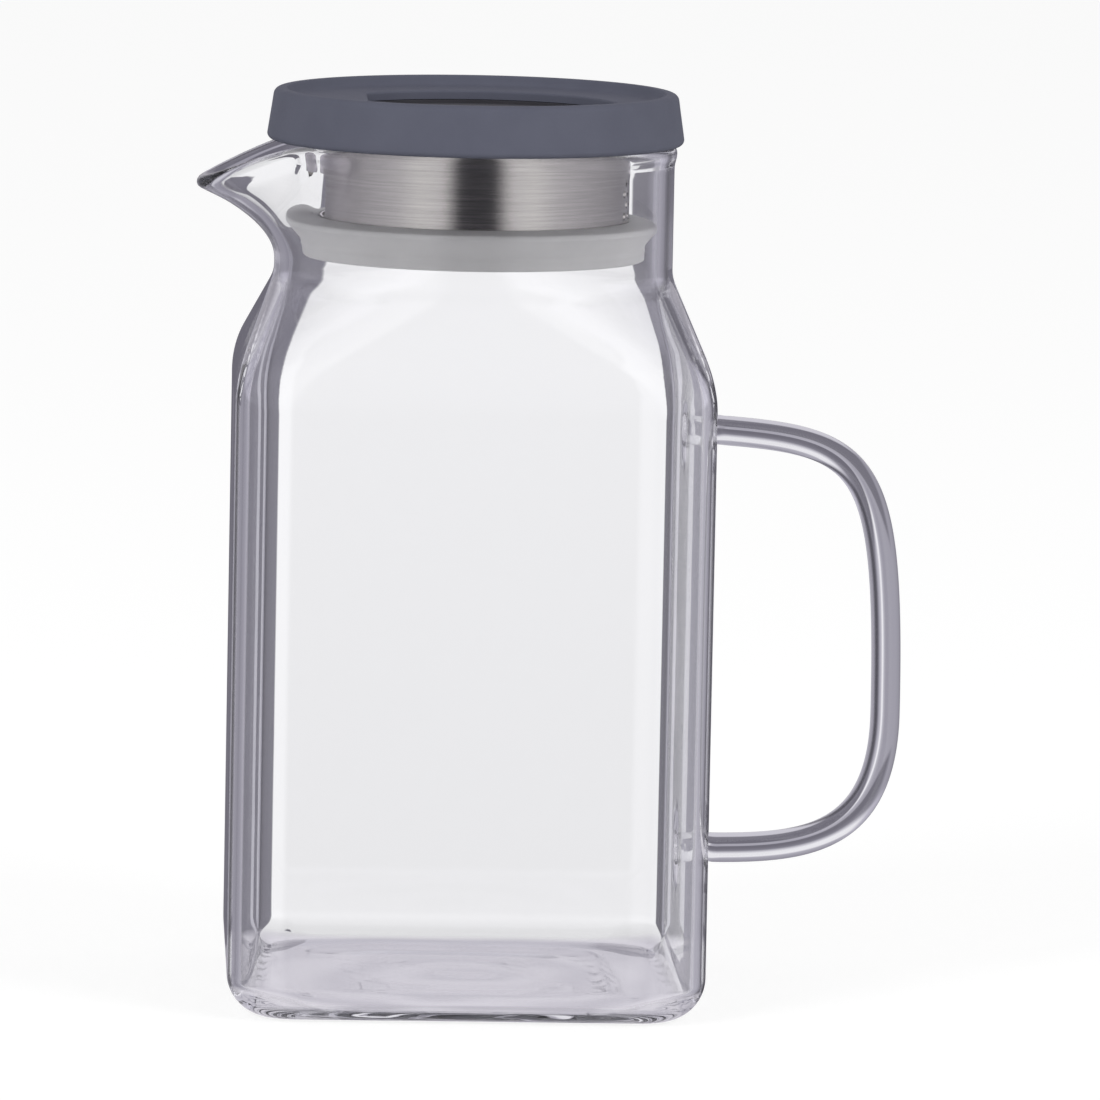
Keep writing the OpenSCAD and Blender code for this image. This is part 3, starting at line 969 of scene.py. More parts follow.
@dataclass
class GlassJug:
    """The jug's glass: body and handle welded into one closed skin, so that light runs through both."""

    body: GlassBody
    rod: RodHandle
    patch_half: float = 6.5
    patch_columns: int = 10
    weld_bump: float = 0.7
    top_bump: tuple[float, float] = (7.4, 6.4)
    low_bump: tuple[float, float] = (8.6, 7.0)
    weld_shares: tuple = (0.2, 0.45, 0.7)

    @property
    def zones(self) -> list[tuple[float, float]]:
        """Levels between which the wall is opened for each weld, in rising order."""
        return [(z - self.patch_half, z + self.patch_half) for z in (self.rod.low_z, self.rod.top_z)]

    def inner_bumps(self, points: np.ndarray) -> np.ndarray:
        """Swells the inner face of the handle's wall a little behind each weld, where the glass ran.

        Args:
            points: The body's points.

        Returns:
            The moved points.
        """
        inner = np.abs(points[:, 0] - (self.body.half - self.body.wall)) < 1e-6
        moved = points.copy()
        for z, (tall, wide) in ((self.rod.top_z, self.top_bump), (self.rod.low_z, self.low_bump)):
            off = (points[:, 1] / wide) ** 2 + ((points[:, 2] - z) / tall) ** 2
            rise = self.weld_bump * np.clip(1 - off, 0, None) ** 1.5
            moved[:, 0] -= np.where(inner, rise, 0)
        return moved

    def body_mesh(self) -> bmesh.types.BMesh:
        """Builds the body's closed skin with the two welds' zones cut out of its outer face.

        Returns:
            The skin.
        """
        body = self.body
        loops = body.loops(self.zones)
        count = body.count
        points = self.inner_bumps(np.concatenate(loops))
        poles = [[0, 0, body.base_push], [0, 0, body.base_t + body.base_push]]
        points = np.concatenate([points, poles])
        faces = skin_faces(len(loops), count)
        first, last = len(points) - 2, len(points) - 1
        inner = (len(loops) - 1) * count
        faces += [(first, (j + 1) % count, j) for j in range(count)]
        faces += [(last, inner + j, inner + (j + 1) % count) for j in range(count)]
        piece = mesh_object("glass", points, faces)
        shape = bmesh.new()
        shape.from_mesh(piece.data)
        bpy.data.objects.remove(piece)
        cut = [f for f in shape.faces if self.in_patch(f.calc_center_median() / MM)]
        bmesh.ops.delete(shape, geom=cut, context="FACES")
        return shape

    def in_patch(self, centre: Vector) -> bool:
        """Tells whether a face lies in a weld's zone on the outer wall.

        Args:
            centre: The face's centre.

        Returns:
            True if it does.
        """
        step = 2 * (self.body.half - self.body.corner_r) / self.body.flat_steps
        if abs(centre.x - self.body.half) > 1e-3 or abs(centre.y) > self.patch_columns / 2 * step:
            return False
        return any(low < centre.z < high for low, high in self.zones)

    def weld(self, shape: bmesh.types.BMesh, height: float) -> None:
        """Fills the wall between a weld's zone and the rod's foot with a few even loops.

        Args:
            shape: The mesh that holds the body and the rod.
            height: The weld's height.
        """
        border = {v for e in shape.edges if len(e.link_faces) == 1 for v in e.verts}
        near, reach, turn = [], {}, {}
        for v in border:
            across, up = v.co.y / MM, v.co.z / MM - height
            reach[v] = max(abs(across) / self.patch_columns, abs(up) / self.patch_half)
            turn[v] = math.atan2(up, across) % FULL_TURN
            if abs(up) < self.patch_half + 1:
                near.append(v)
        near.sort(key=reach.get)
        foot, edge = near[: self.rod.sides], near[self.rod.sides :]
        for loop in (foot, edge):
            loop.sort(key=turn.get)
        loops = [foot]
        for share in self.weld_shares:
            loops.append([shape.verts.new(a.co.lerp(b.co, share)) for a, b in zip(foot, edge)])
        loops.append(edge)
        for inner, outer in zip(loops, loops[1:]):
            for j in range(len(inner)):
                k = (j + 1) % len(inner)
                shape.faces.new((inner[j], outer[j], outer[k], inner[k]))

    def build(self, finish: Material) -> Piece:
        """Builds the closed glass piece, which stands for both CAD nodes of the jug.

        Args:
            finish: The glass.

        Returns:
            The piece, riding on the jug's body.
        """
        rod = self.rod.build(finish)
        shape = self.body_mesh()
        shape.from_mesh(rod.data)
        bpy.data.objects.remove(rod)
        for height in (self.rod.top_z, self.rod.low_z):
            self.weld(shape, height)
        bmesh.ops.recalc_face_normals(shape, faces=shape.faces[:])
        for face in shape.faces:
            face.smooth = True
            face.material_index = 0
        open_edges = sum(len(e.link_faces) != 2 for e in shape.edges)
        mesh = bpy.data.meshes.new("glass_jug")
        shape.to_mesh(mesh)
        shape.free()
        mesh.materials.clear()
        mesh.materials.append(finish)
        piece = linked("glass_jug", mesh)
        log.info("glass_jug: %d open edges", open_edges)
        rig.ride(piece, JUG)
        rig.replaces(piece, "glass_body", "handle")
        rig.slot(piece, "body_glass")
        return piece


@dataclass
class LidCover:
    """The silicone cover: a shallow cap with a dished top and a D-shaped grip well over the core."""

    low_z: float
    top_z: float
    radius: float
    draft: float = 1.2
    top_round: float = 1.5
    low_round: float = 1.2
    wall: float = 2.4
    web: float = 1.8
    lip: float = 1.0
    lip_flat: float = 4.0
    dish: float = 2.5
    rim_w: float = 1.2
    well_r: float = 30.0
    well_chord: float = 22.6
    well_edge: float = 0.5
    well_soft: float = 0.5
    collar_r: float = 32.5
    gap: float = 0.1
    side_steps: int = 6
    floor_steps: int = 7
    edge_steps: int = 5
    count: int = 256
    slope_run: tuple = (0.12, 0.35, 0.65, 0.9, 1.3, 2.0, 3.2)
    slope_drop: tuple = (0.05, 0.22, 0.5, 0.66, 0.76, 0.84, 0.9)

    def well_radius(self, grow: float) -> np.ndarray:
        """The well's outline, a circle cut by a straight side.

        Args:
            grow: How far outside the well's wall it runs.

        Returns:
            Its distance from the axis at each point.
        """
        turn = np.arange(self.count) / self.count * FULL_TURN
        chord = (self.well_chord + grow) / np.clip(-np.cos(turn), 1e-3, None)
        circle = self.well_r + grow
        near = np.clip(0.5 + 0.5 * (chord - circle) / self.well_soft, 0, 1)
        return chord * (1 - near) + circle * near - self.well_soft * near * (1 - near)

    def loops(self) -> Loops:
        """The cover's section, carried round.

        Returns:
            Its loops: out under the lip, up the side, over the dish, down the well and back inside.
        """
        top_r, inner_r = self.radius - self.draft, self.radius - self.wall
        hole_r = self.collar_r + 2 * self.gap
        lip_z, dish_z = self.low_z + self.lip, self.top_z - self.dish
        low_z, high_z = self.low_z + self.low_round, self.top_z - self.top_round
        outer = [(hole_r, self.low_z), (hole_r + self.lip_flat, self.low_z)]
        outer += arc((self.radius - self.low_round, low_z), self.low_round, -90, -3, 8)
        side_r = np.linspace(self.radius, top_r, self.side_steps + 1)
        outer += list(zip(side_r, np.linspace(low_z, high_z, self.side_steps + 1)))[1:-1]
        outer += arc((top_r - self.top_round, high_z), self.top_round, 6, 90, 10)
        dish_r = top_r - self.top_round - self.rim_w
        outer += [(dish_r, self.top_z)]
        slope = zip(self.slope_run, self.slope_drop)
        outer += [(dish_r - run, self.top_z - self.dish * drop) for run, drop in slope]
        last_r, last_z = outer[-1]
        for share in np.linspace(0, 1, self.floor_steps + 1)[1:]:
            r = last_r + (self.well_radius(self.well_edge) - last_r) * share
            outer.append((r, last_z + (dish_z - last_z) * share))
        for t in np.linspace(0, RIGHT_ANGLE, self.edge_steps + 1)[1:]:
            grow, drop = self.well_edge * (1 - math.sin(t)), self.well_edge * (1 - math.cos(t))
            outer.append((self.well_radius(grow), dish_z - drop))
        web_z = dish_z - self.web
        inner = [(self.well_radius(0), web_z), (inner_r, web_z), (inner_r, lip_z), (hole_r, lip_z)]
        return [around(r, z, self.count) for r, z in outer + inner]

    def build(self, finish: Material) -> Piece:
        """Builds the cover.

        Args:
            finish: The silicone.

        Returns:
            The cover, riding on the lid.
        """
        piece = round_piece("silicone_cover", self.loops(), 40, finish)
        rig.ride(piece, LID)
        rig.replaces(piece, "lid_cover")
        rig.slot(piece, "cover_silicone")
        return piece


@dataclass
class StrainerCollar:
    """The drawn steel collar with a pouring window towards the spout and strainer holes opposite."""

    low_z: float
    top_z: float
    radius: float = 32.5
    steel: float = 0.5
    bend: float = 0.6
    top_flange: float = 3.6
    low_flange: float = 1.7
    window_w: float = 18.6
    window_h: float = 9.1
    window_z: float = 169.15
    window_r: float = 2.0
    hole_d: float = 1.6
    first_z: float = 172.9
    rise: float = 2.3
    angle: float = 5.7
    rows: int = 5
    columns: int = 7
    hole_sides: int = 24
    corner_steps: int = 6
    count: int = 288

    def sheet(self) -> Piece:
        """The collar before it is cut.

        Returns:
            A closed ring of sheet with both its flanges.
        """
        outer, steel, bend = self.radius, self.steel, self.bend
        inner, over_foot, under_top = outer - steel, self.low_z + steel, self.top_z - steel
        top_r, low_r = outer + self.top_flange, outer + self.low_flange
        profile = [(inner, self.low_z), (low_r, self.low_z), (low_r, over_foot)]
        profile += arc((outer + bend, over_foot + bend), bend, 270, 180, 4)
        profile += arc((outer + bend, under_top - bend), bend, 180, 90, 4)
        profile += [(top_r, under_top), (top_r, self.top_z), (inner, self.top_z)]
        points = np.concatenate([around(r, z, self.count) for r, z in profile])
        return mesh_object("strainer_collar_steel", points, skin_faces(len(profile), self.count, closed=True))

    def punches(self, tree: Tree, given: Any) -> Node:
        """Adds the punches of the strainer holes, in rows of which every second one has one more.

        Args:
            tree: The tree that cuts the collar.
            given: Its inputs.

        Returns:
            The node that gives the punches.
        """
        columns, radius = given["Columns"], given["Radius"]
        wide = add(tree, MATH, (columns, 1.0), operation="ADD")
        total = add(tree, MATH, (given["Rows"], wide), operation="MULTIPLY")
        dots = add(tree, "GeometryNodeMeshLine", {"Count": total})
        index = add(tree, "GeometryNodeInputIndex")
        centred = add(tree, MATH, (index, 0.5), operation="ADD")
        passed = add(tree, MATH, (centred, wide), operation="DIVIDE")
        row = add(tree, MATH, (passed,), operation="FLOOR")
        before = add(tree, MATH, (row, wide), operation="MULTIPLY")
        column = add(tree, MATH, (index, before), operation="SUBTRACT")
        # Even rows are one hole shorter, so their last dot is spare.
        odd = add(tree, MATH, (row, 2.0), operation="MODULO")
        even = add(tree, MATH, (1.0, odd), operation="SUBTRACT")
        last = add(tree, MATH, (columns, 0.5), operation="SUBTRACT")
        is_last = add(tree, MATH, (column, last), operation="GREATER_THAN")
        spare = add(tree, MATH, (even, is_last), operation="MULTIPLY")
        in_row = add(tree, MATH, (columns, odd), operation="ADD")
        spans = add(tree, MATH, (in_row, 1.0), operation="SUBTRACT")
        middle = add(tree, MATH, (spans, 2.0), operation="DIVIDE")
        off = add(tree, MATH, (column, middle), operation="SUBTRACT")
        turn = add(tree, MATH, (off, given["Hole angle"]), operation="MULTIPLY")
        drop = add(tree, MATH, (row, given["Row rise"]), operation="MULTIPLY")
        level = add(tree, MATH, (given["First row"], drop), operation="SUBTRACT")
        cosine = add(tree, MATH, (turn,), operation="COSINE")
        sine = add(tree, MATH, (turn,), operation="SINE")
        x = add(tree, MATH, (radius, cosine), operation="MULTIPLY")
        y = add(tree, MATH, (radius, sine), operation="MULTIPLY")
        spot = add(tree, JOIN_XYZ, (x, y, level))
        placed = add(tree, "GeometryNodeSetPosition", {"Geometry": dots, "Position": spot})
        chosen = {"Geometry": placed, "Selection": spare}
        kept = add(tree, "GeometryNodeDeleteGeometry", chosen, domain="POINT")
        # A punch a fifth of the radius long goes right through the sheet, and no further.
        depth = add(tree, MATH, (radius, 0.2), operation="MULTIPLY")
        sizes = {"Vertices": given["Hole sides"], "Radius": given["Hole radius"], "Depth": depth}
        punch = add(tree, "GeometryNodeMeshCylinder", sizes)
        facing = add(tree, JOIN_XYZ, (x, y, 0.0))
        aim = add(tree, "FunctionNodeAlignRotationToVector", {"Vector": facing}, axis="Z")
        placing = {"Points": kept, "Instance": punch, "Rotation": aim}
        placed_punches = add(tree, "GeometryNodeInstanceOnPoints", placing)
        return add(tree, "GeometryNodeRealizeInstances", (placed_punches,))

    def window_block(self, tree: Tree, given: Any) -> Node:
        """Adds the block that cuts the pouring window.

        Args:
            tree: The tree that cuts the collar.
            given: Its inputs.

        Returns:
            The node that gives the block.
        """
        sides = {"Width": given["Window height"], "Height": given["Window width"]}
        outline = add(tree, "GeometryNodeCurvePrimitiveQuadrilateral", sides)
        corners = {"Curve": outline, "Count": given["Corner steps"], "Radius": given["Window corner"]}
        rounded = add(tree, "GeometryNodeFilletCurve", {**corners, "Limit Radius": True}, mode="POLY")
        plate = add(tree, "GeometryNodeFillCurve", {"Curve": rounded}, mode="NGONS")
        prism = add(tree, "GeometryNodeExtrudeMesh", {"Mesh": plate, "Offset Scale": given["Radius"]})
        back = add(tree, "GeometryNodeFlipFaces", {"Mesh": plate})
        block = add(tree, "GeometryNodeJoinGeometry", ([prism, back],))
        closed = add(tree, "GeometryNodeMergeByDistance", {"Geometry": block})
        # It starts halfway to the wall and is a radius long, so it leaves the far side whole.
        start = add(tree, MATH, (given["Radius"], -0.5), operation="MULTIPLY")
        seat = add(tree, JOIN_XYZ, (start, 0.0, given["Window level"]))
        placing = {"Geometry": closed, "Translation": seat, "Rotation": (0.0, -RIGHT_ANGLE, 0.0)}
        return add(tree, "GeometryNodeTransform", placing)

    def cutting_tree(self) -> Tree:
        """Builds the tree that cuts staggered rows of holes, and the window, through a collar.

        Returns:
            The tree.
        """
        numbers = ["Radius", "Hole radius", "First row", "Row rise", "Hole angle"]
        numbers += ["Window width", "Window height", "Window level", "Window corner"]
        counts = ["Rows", "Columns", "Hole sides", "Corner steps"]
        inputs = {Socket.SHAPE: ["Sheet"], Socket.NUMBER: numbers, Socket.COUNT: counts}
        tree, given = start_tree("perforated_collar", {**inputs, Socket.FINISH: ["Finish"]}, "Collar")
        tools = [self.punches(tree, given), self.window_block(tree, given)]
        taken = {"Mesh 1": given["Sheet"], "Mesh 2": tools}
        cut = add(tree, "GeometryNodeMeshBoolean", taken, operation="DIFFERENCE", solver="EXACT")
        return end_tree(tree, cut, given["Finish"])

    def build(self, finish: Material) -> Piece:
        """Cuts the collar.

        Args:
            finish: The steel.

        Returns:
            The collar, riding on the lid.
        """
        piece = self.sheet()
        sizes = {"Radius": self.radius, "Hole radius": self.hole_d / 2, "First row": self.first_z}
        sizes |= {"Row rise": self.rise, "Window width": self.window_w, "Window height": self.window_h}
        sizes |= {"Window level": self.window_z, "Window corner": self.window_r}
        values = {name: size * MM for name, size in sizes.items()}
        values |= {"Hole angle": math.radians(self.angle), "Rows": self.rows, "Columns": self.columns}
        values |= {"Hole sides": self.hole_sides, "Corner steps": self.corner_steps}
        apply_tree(piece, self.cutting_tree(), {**values, "Finish": finish})
        sharpen(piece, 30)
        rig.ride(piece, LID)
        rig.replaces(piece, "strainer_collar")
        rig.slot(piece, "collar_steel")
        return piece


@dataclass
class SealGasket:
    """The silicone gasket: a soft body round the collar's foot and a thin fin that presses on the neck."""

    low_z: float
    top_z: float
    outer_r: float
    collar_r: float = 32.5
    steel: float = 0.5
    flange: float = 1.7
    gap: float = 0.3
    wall: float = 1.3
    floor: float = 1.5
    soft: float = 0.55
    hem: float = 0.3
    fin_tip: float = 1.5
    fin_drop: float = 0.6
    count: int = 192
    bulge: tuple = ((0.0, 1.7), (0.12, 2.1), (0.0, 2.5), (0.1, 3.3))

    def profile(self) -> list[tuple[float, float]]:
        """The gasket's outline.

        Returns:
            Its points, from its foot round outside and back through the collar's groove.
        """
        hole_r, seat_r = self.collar_r - self.steel, self.collar_r + self.gap
        groove_r = seat_r + self.flange
        body_r = groove_r + self.wall
        groove_z, tip_z = self.low_z + self.floor, self.top_z - self.fin_drop
        groove_top = groove_z + self.steel + 2 * self.gap
        soft, hem, fin_r = self.soft, self.hem, self.outer_r - self.soft
        outline = [(hole_r, self.low_z)]
        outline += arc((body_r - soft, self.low_z + soft), soft, -90, 0, 5)
        outline += [(body_r + out, self.low_z + up) for out, up in self.bulge]
        outline += arc((fin_r, tip_z - self.fin_tip + soft), soft, -50, 0, 4)
        outline += arc((fin_r, tip_z - soft), soft, 0, 80, 4)
        outline += arc((seat_r + hem, self.top_z - hem), hem, 90, 180, 3)
        outline += [(seat_r, groove_top), (groove_r, groove_top)]
        return outline + [(groove_r, groove_z), (hole_r, groove_z)]

    def build(self, finish: Material) -> Piece:
        """Builds the gasket.

        Args:
            finish: The silicone.

        Returns:
            The gasket, riding on the seal.
        """
        loops = [around(r, z, self.count) for r, z in self.profile()]
        piece = round_piece("silicone_gasket", loops, 45, finish)
        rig.ride(piece, SEAL)
        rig.replaces(piece, "gasket")
        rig.slot(piece, "gasket_silicone")
        return piece


@dataclass
class RoomTones:
    """The room's tones by a ray's direction: how far right it points, its angle and its height.

    The angle is 0 straight behind the jug and grows to the right. The height goes from 0 straight
    down to 1 straight up.
    """

    tree: Tree
    side: Output
    turn: Node
    tilt: Node
    ambient: float = 0.66
    zenith: float = 0.28
    side_mean: float = 0.78
    side_lean: float = 0.12
    side_bend: float = 1.1
    behind_share: float = 0.85

    def room(self, back: Stops, rest: Stops) -> Output:
        """Adds the tone of a room round the jug, finely stepped at its back and coarsely elsewhere.

        Args:
            back: Pairs of angle in degrees and tone, from -30 to 30.
            rest: Pairs of angle and tone for the whole turn, from -180 to 180.

        Returns:
            The tone.
        """
        tree, turn, parts, fine = self.tree, self.turn, [], 30
        for reach, stops in ((fine, back), (180, rest)):
            share = add(tree, SPAN, (turn, -math.radians(reach), math.radians(reach)))
            tones = greys([(angle / reach / 2 + 0.5, tone) for angle, tone in stops], 1.0)
            parts.append(add(tree, RAMP, (share,), tones))
        off = add(tree, MATH, (turn,), operation="ABSOLUTE")
        aside = add(tree, MATH, (off, math.radians(fine)), operation="GREATER_THAN")
        return add(tree, MIX, {0: aside, 6: parts[0], 7: parts[1]}, data_type="RGBA").outputs[2]

    def metal(self) -> Output:
        """Adds what metal sees, and light that turned back in the walls: boxes, and grey strips behind.

        Returns:
            The tone.
        """
        tree, turn, tilt = self.tree, self.turn, self.tilt
        seen = [(0, 0.03), (13, 0.04), (25, 0.9), (42, 1.0)]
        seen += [(62, 0.7), (84, 0.56), (132, 0.28), (180, 0.26)]
        off = add(tree, MATH, (turn,), operation="ABSOLUTE")
        from_back = add(tree, MATH, (off, math.pi), operation="DIVIDE")
        share = add(tree, MATH, (1.0, from_back), operation="SUBTRACT")
        front = add(tree, RAMP, (share,), greys([(angle / 180, tone) for angle, tone in seen], 0.6))
        back = [(-30, 0.5), (-7, 0.5), (-6, 0.14), (-0.6, 0.14)]
        back += [(-0.2, 0.6), (2.5, 0.6), (3.5, 0.16), (30, 0.16)]
        level = self.room(back, [(-180, 0.4), (180, 0.4)])
        raised = add(tree, RAMP, (tilt,), greys([(0.0, 0.0), (0.515, 0.0), (0.53, 1.0)]))
        behind = add(tree, MIX, {0: raised, 6: level, 7: linear("#D6D3DA")}, data_type="RGBA").outputs[2]
        is_behind = add(tree, MATH, (share, self.behind_share), operation="GREATER_THAN")
        return add(tree, MIX, {0: is_behind, 6: front, 7: behind}, data_type="RGBA").outputs[2]

    def vessel(self) -> Output:
        """Adds what shows through the body's walls: a lit panel edged with black cards in a grey room.

        Returns:
            The tone.
        """
        tree, turn, tilt = self.tree, self.turn, self.tilt
        back = [(-30, 0.3), (-19, 0.3), (-16.5, 0.04), (-12, 0.1), (-8, 0.15), (-3.6, 0.17)]
        back += [(-3.3, 1), (9.6, 1), (9.9, 0.14), (15, 0.1), (18.5, 0.15), (21, 0.45), (30, 0.45)]
        rest = [(-180, 0.8), (-46, 0.75), (-36, 0.25), (-30, 0.3)]
        rest += [(30, 0.45), (36, 0.4), (44, 0.78), (180, 0.8)]
        level = self.room(back, rest)
        bounced = add(tree, MATH, (turn, math.pi / 8), operation="PINGPONG")
        fold = add(tree, MATH, (bounced, math.pi / 8), operation="DIVIDE")
        aslant = add(tree, RAMP, (fold,), greys([(0.0, 1.0), (0.7, 1.0), (0.8, 0.4), (1.0, 0.3)]))
        levels = [(0.0, 0.0), (0.3, 0.0), (0.31, 1.0), (0.54, 1.0), (0.56, 0.0)]
        is_level = add(tree, RAMP, (tilt,), greys(levels))
        falls = [(0.0, 0.7), (0.3, 0.8), (0.4, 0.87), (0.415, 0.92), (0.455, 1.0), (0.6, 1.0), (1.0, 0.8)]
        fall = add(tree, RAMP, (tilt,), greys(falls))
        tone = add(tree, MIX, {0: is_level, 6: aslant, 7: level}, data_type="RGBA").outputs[2]
        tones = {0: 1.0, 6: tone, 7: fall}
        return add(tree, MIX, tones, data_type="RGBA", blend_type="MULTIPLY").outputs[2]

    def rod(self) -> Output:
        """Adds what shows through solid glass: strips by angle for level rays, and by height elsewhere.

        Returns:
            The tone.
        """
        tree, turn, tilt = self.tree, self.turn, self.tilt
        back = [(-30, 0.3), (-18, 0.34), (-5, 0.34), (2, 0.34), (4, 0.42), (5.5, 0.5), (6.5, 0.8)]
        back += [(8.5, 0.85), (10.5, 0.5), (13, 0.42), (16.5, 0.2), (19, 0.08), (24, 0.06), (30, 0.25)]
        rest = [(-180, 0.3), (-90, 0.55), (-60, 0.5), (-46, 0.32), (-35, 0.25), (-30, 0.3)]
        rest += [(30, 0.3), (40, 0.4), (53, 0.45), (65, 0.75), (90, 0.75), (180, 0.3)]
        by_angle = self.room(back, rest)
        heights = [(-1, 0.55), (-0.52, 0.58), (-0.47, 0.16), (-0.02, 0.16), (0.06, 0.22), (0.12, 0.6)]
        heights += [(0.16, 0.83), (0.26, 0.83), (0.31, 0.42), (0.45, 0.34), (0.6, 0.4), (1, 0.5)]
        by_height = add(tree, RAMP, (tilt,), greys([(z / 2 + 0.5, tone) for z, tone in heights], 1.0))
        levels = [(0.0, 0.0), (0.405, 0.0), (0.412, 1.0), (0.45, 1.0), (0.457, 0.0)]
        is_level = add(tree, RAMP, (tilt,), greys(levels))
        lift = add(tree, SPAN, (tilt, 0.515, 0.55, 1.0, 1.5))
        wide = add(tree, VECTOR_MATH, {0: by_angle, "Scale": lift}, operation="SCALE")
        off = add(tree, MATH, (turn,), operation="ABSOLUTE")
        is_wide = add(tree, SPAN, (off, math.radians(14), math.radians(20)))
        tone = add(tree, MIX, {0: is_level, 6: by_height, 7: by_angle}, data_type="RGBA").outputs[2]
        return add(tree, MIX, {0: is_wide, 6: tone, 7: wide}, data_type="RGBA").outputs[2]

    def matt(self) -> Node:
        """Adds what lights the matt pieces: soft sides, the right one stronger, and a duller ceiling.

        Returns:
            The node that gives the tone.
        """
        tree, side = self.tree, self.side
        tones = greys([(0.0, self.ambient), (0.5, self.ambient), (1.0, self.zenith)])
        level = add(tree, RAMP, (self.tilt,), tones)
        slant = add(tree, MATH, (side, self.side_bend, self.side_lean), operation="MULTIPLY_ADD")
        gain = add(tree, MATH, (slant, side, self.side_mean), operation="MULTIPLY_ADD")
        return add(tree, VECTOR_MATH, {0: level, "Scale": gain}, operation="SCALE")


@dataclass
class Studio:
    """A plain pale studio: a white sweep behind and under the jug, soft lamps and grey sides."""

    camera_azimuth: float = -2.0
    camera_elevation: float = 7.05
    distance: float = 2200.0
    focus_px: float = 10425.0
    frame_px: float = 1100.0
    roll: float = 1.07
    aim_right_px: float = 81.8
    aim_down_px: float = 5.9
    target_z: float = 95.0
    sensor_mm: float = 36.0
    floor_glow: float = 0.8
    floor_reach: float = 12000.0
    floor_gap: float = 0.05
    shade_round: float = 12.0
    shade_in: float = 46.0
    shade_out: float = 56.0
    ring_mm: float = 21.0
    ring_drift: float = 7.0
    ring_drift_mm: float = 28.0
    glass_gain: float = 0.35
    key_power: float = 16.0
    fill_share: float = 0.8
    lamp_size: float = 900.0
    lamp_aim_z: float = 100.0

    def world(self) -> None:
        """Makes the world: white to the camera, toned for metal and glass, soft for the rest."""
        world = bpy.data.worlds.new("studio")
        world.use_nodes = True
        bpy.context.scene.world = world
        tree = world.node_tree
        tree.nodes.clear()
        x, y, z = add(tree, SPLIT_XYZ, (add(tree, PLACE).outputs["Generated"],)).outputs
        turn = add(tree, MATH, (x, y), operation="ARCTAN2")
        tilt = add(tree, MATH, (z, 0.5, 0.5), operation="MULTIPLY_ADD")
        ray = add(tree, "ShaderNodeLightPath").outputs
        crossed = ray["Transmission Depth"]
        bent = add(tree, MATH, (crossed, 1.0), operation="MINIMUM")
        # A ray through the rod alone crosses two faces, and one through both walls of the body four.
        # Light that turns back inside the glass keeps the glass's tone until it has crossed four.
        walls = add(tree, MATH, (crossed, 2.5), operation="GREATER_THAN")
        both_walls = add(tree, MATH, (crossed, 3.5), operation="GREATER_THAN")
        inside = add(tree, MATH, (bent, both_walls), operation="SUBTRACT")
        outside = add(tree, MATH, (1.0, inside), operation="SUBTRACT")
        bounced = add(tree, MATH, (ray["Glossy Depth"], 1.0), operation="MINIMUM")
        mirrored = add(tree, MATH, (bounced, outside), operation="MULTIPLY")
        scattered = add(tree, MATH, (ray["Diffuse Depth"], 1.0), operation="MINIMUM")
        through = add(tree, MATH, (bent, self.glass_gain, 1.0), operation="MULTIPLY_ADD")
        tones = RoomTones(tree, x, turn, tilt)
        matt = {0: tones.matt(), "Scale": through}
        soft = tone = add(tree, VECTOR_MATH, matt, operation="SCALE").outputs[0]
        choices = [(bent, tones.rod()), (walls, tones.vessel()), (mirrored, tones.metal())]
        choices += [(scattered, soft), (ray["Is Camera Ray"], (1.0, 1.0, 1.0, 1.0))]
        for share, choice in choices:
            tone = add(tree, MIX, {0: share, 6: tone, 7: choice}, data_type="RGBA").outputs[2]
        back = add(tree, "ShaderNodeBackground", {"Color": tone, "Strength": 1.0})
        add(tree, "ShaderNodeOutputWorld", {"Surface": back})

    def shade_tone(self, tree: Tree) -> tuple[Node, Node]:
        """Adds the jug's shade on the board, as glass shows it: faint rings of light under the base.

        Args:
            tree: The board's node tree.

        Returns:
            The share of the shade, and the glow of the board in it.
        """
        place = add(tree, PLACE).outputs["Object"]
        x, y, _ = add(tree, SPLIT_XYZ, (place,)).outputs
        off_x, off_y = (add(tree, MATH, (axis,), operation="ABSOLUTE") for axis in (x, y))
        off = add(tree, MATH, (off_x, off_y, self.shade_round * MM), operation="SMOOTH_MAX")
        shade = add(tree, SPAN, (off, self.shade_in * MM, self.shade_out * MM, 1.0, 0.0))
        drift = add(tree, NOISE, {"Vector": place, "Scale": 1 / (self.ring_drift_mm * MM), "Detail": 1.0})
        radius = add(tree, VECTOR_MATH, (place,), operation="LENGTH").outputs["Value"]
        late = add(tree, MATH, (drift, self.ring_drift), operation="MULTIPLY")
        phase = add(tree, MATH, (radius, FULL_TURN / (self.ring_mm * MM), late), operation="MULTIPLY_ADD")
        wave = add(tree, MATH, (phase,), operation="SINE")
        ring = add(tree, MATH, (wave, 0.5, 0.5), operation="MULTIPLY_ADD")
        tones = {0: ring, 6: linear("#C3C0C9"), 7: linear("#DEDBE2")}
        tone = add(tree, MIX, tones, data_type="RGBA").outputs[2]
        return shade, add(tree, GLOW, {"Color": tone, "Strength": 1.0})

    def floor_material(self) -> Material:
        """Builds painted white board: white to the camera but for the jug's shadow, and unseen from below.

        Returns:
            The material.
        """
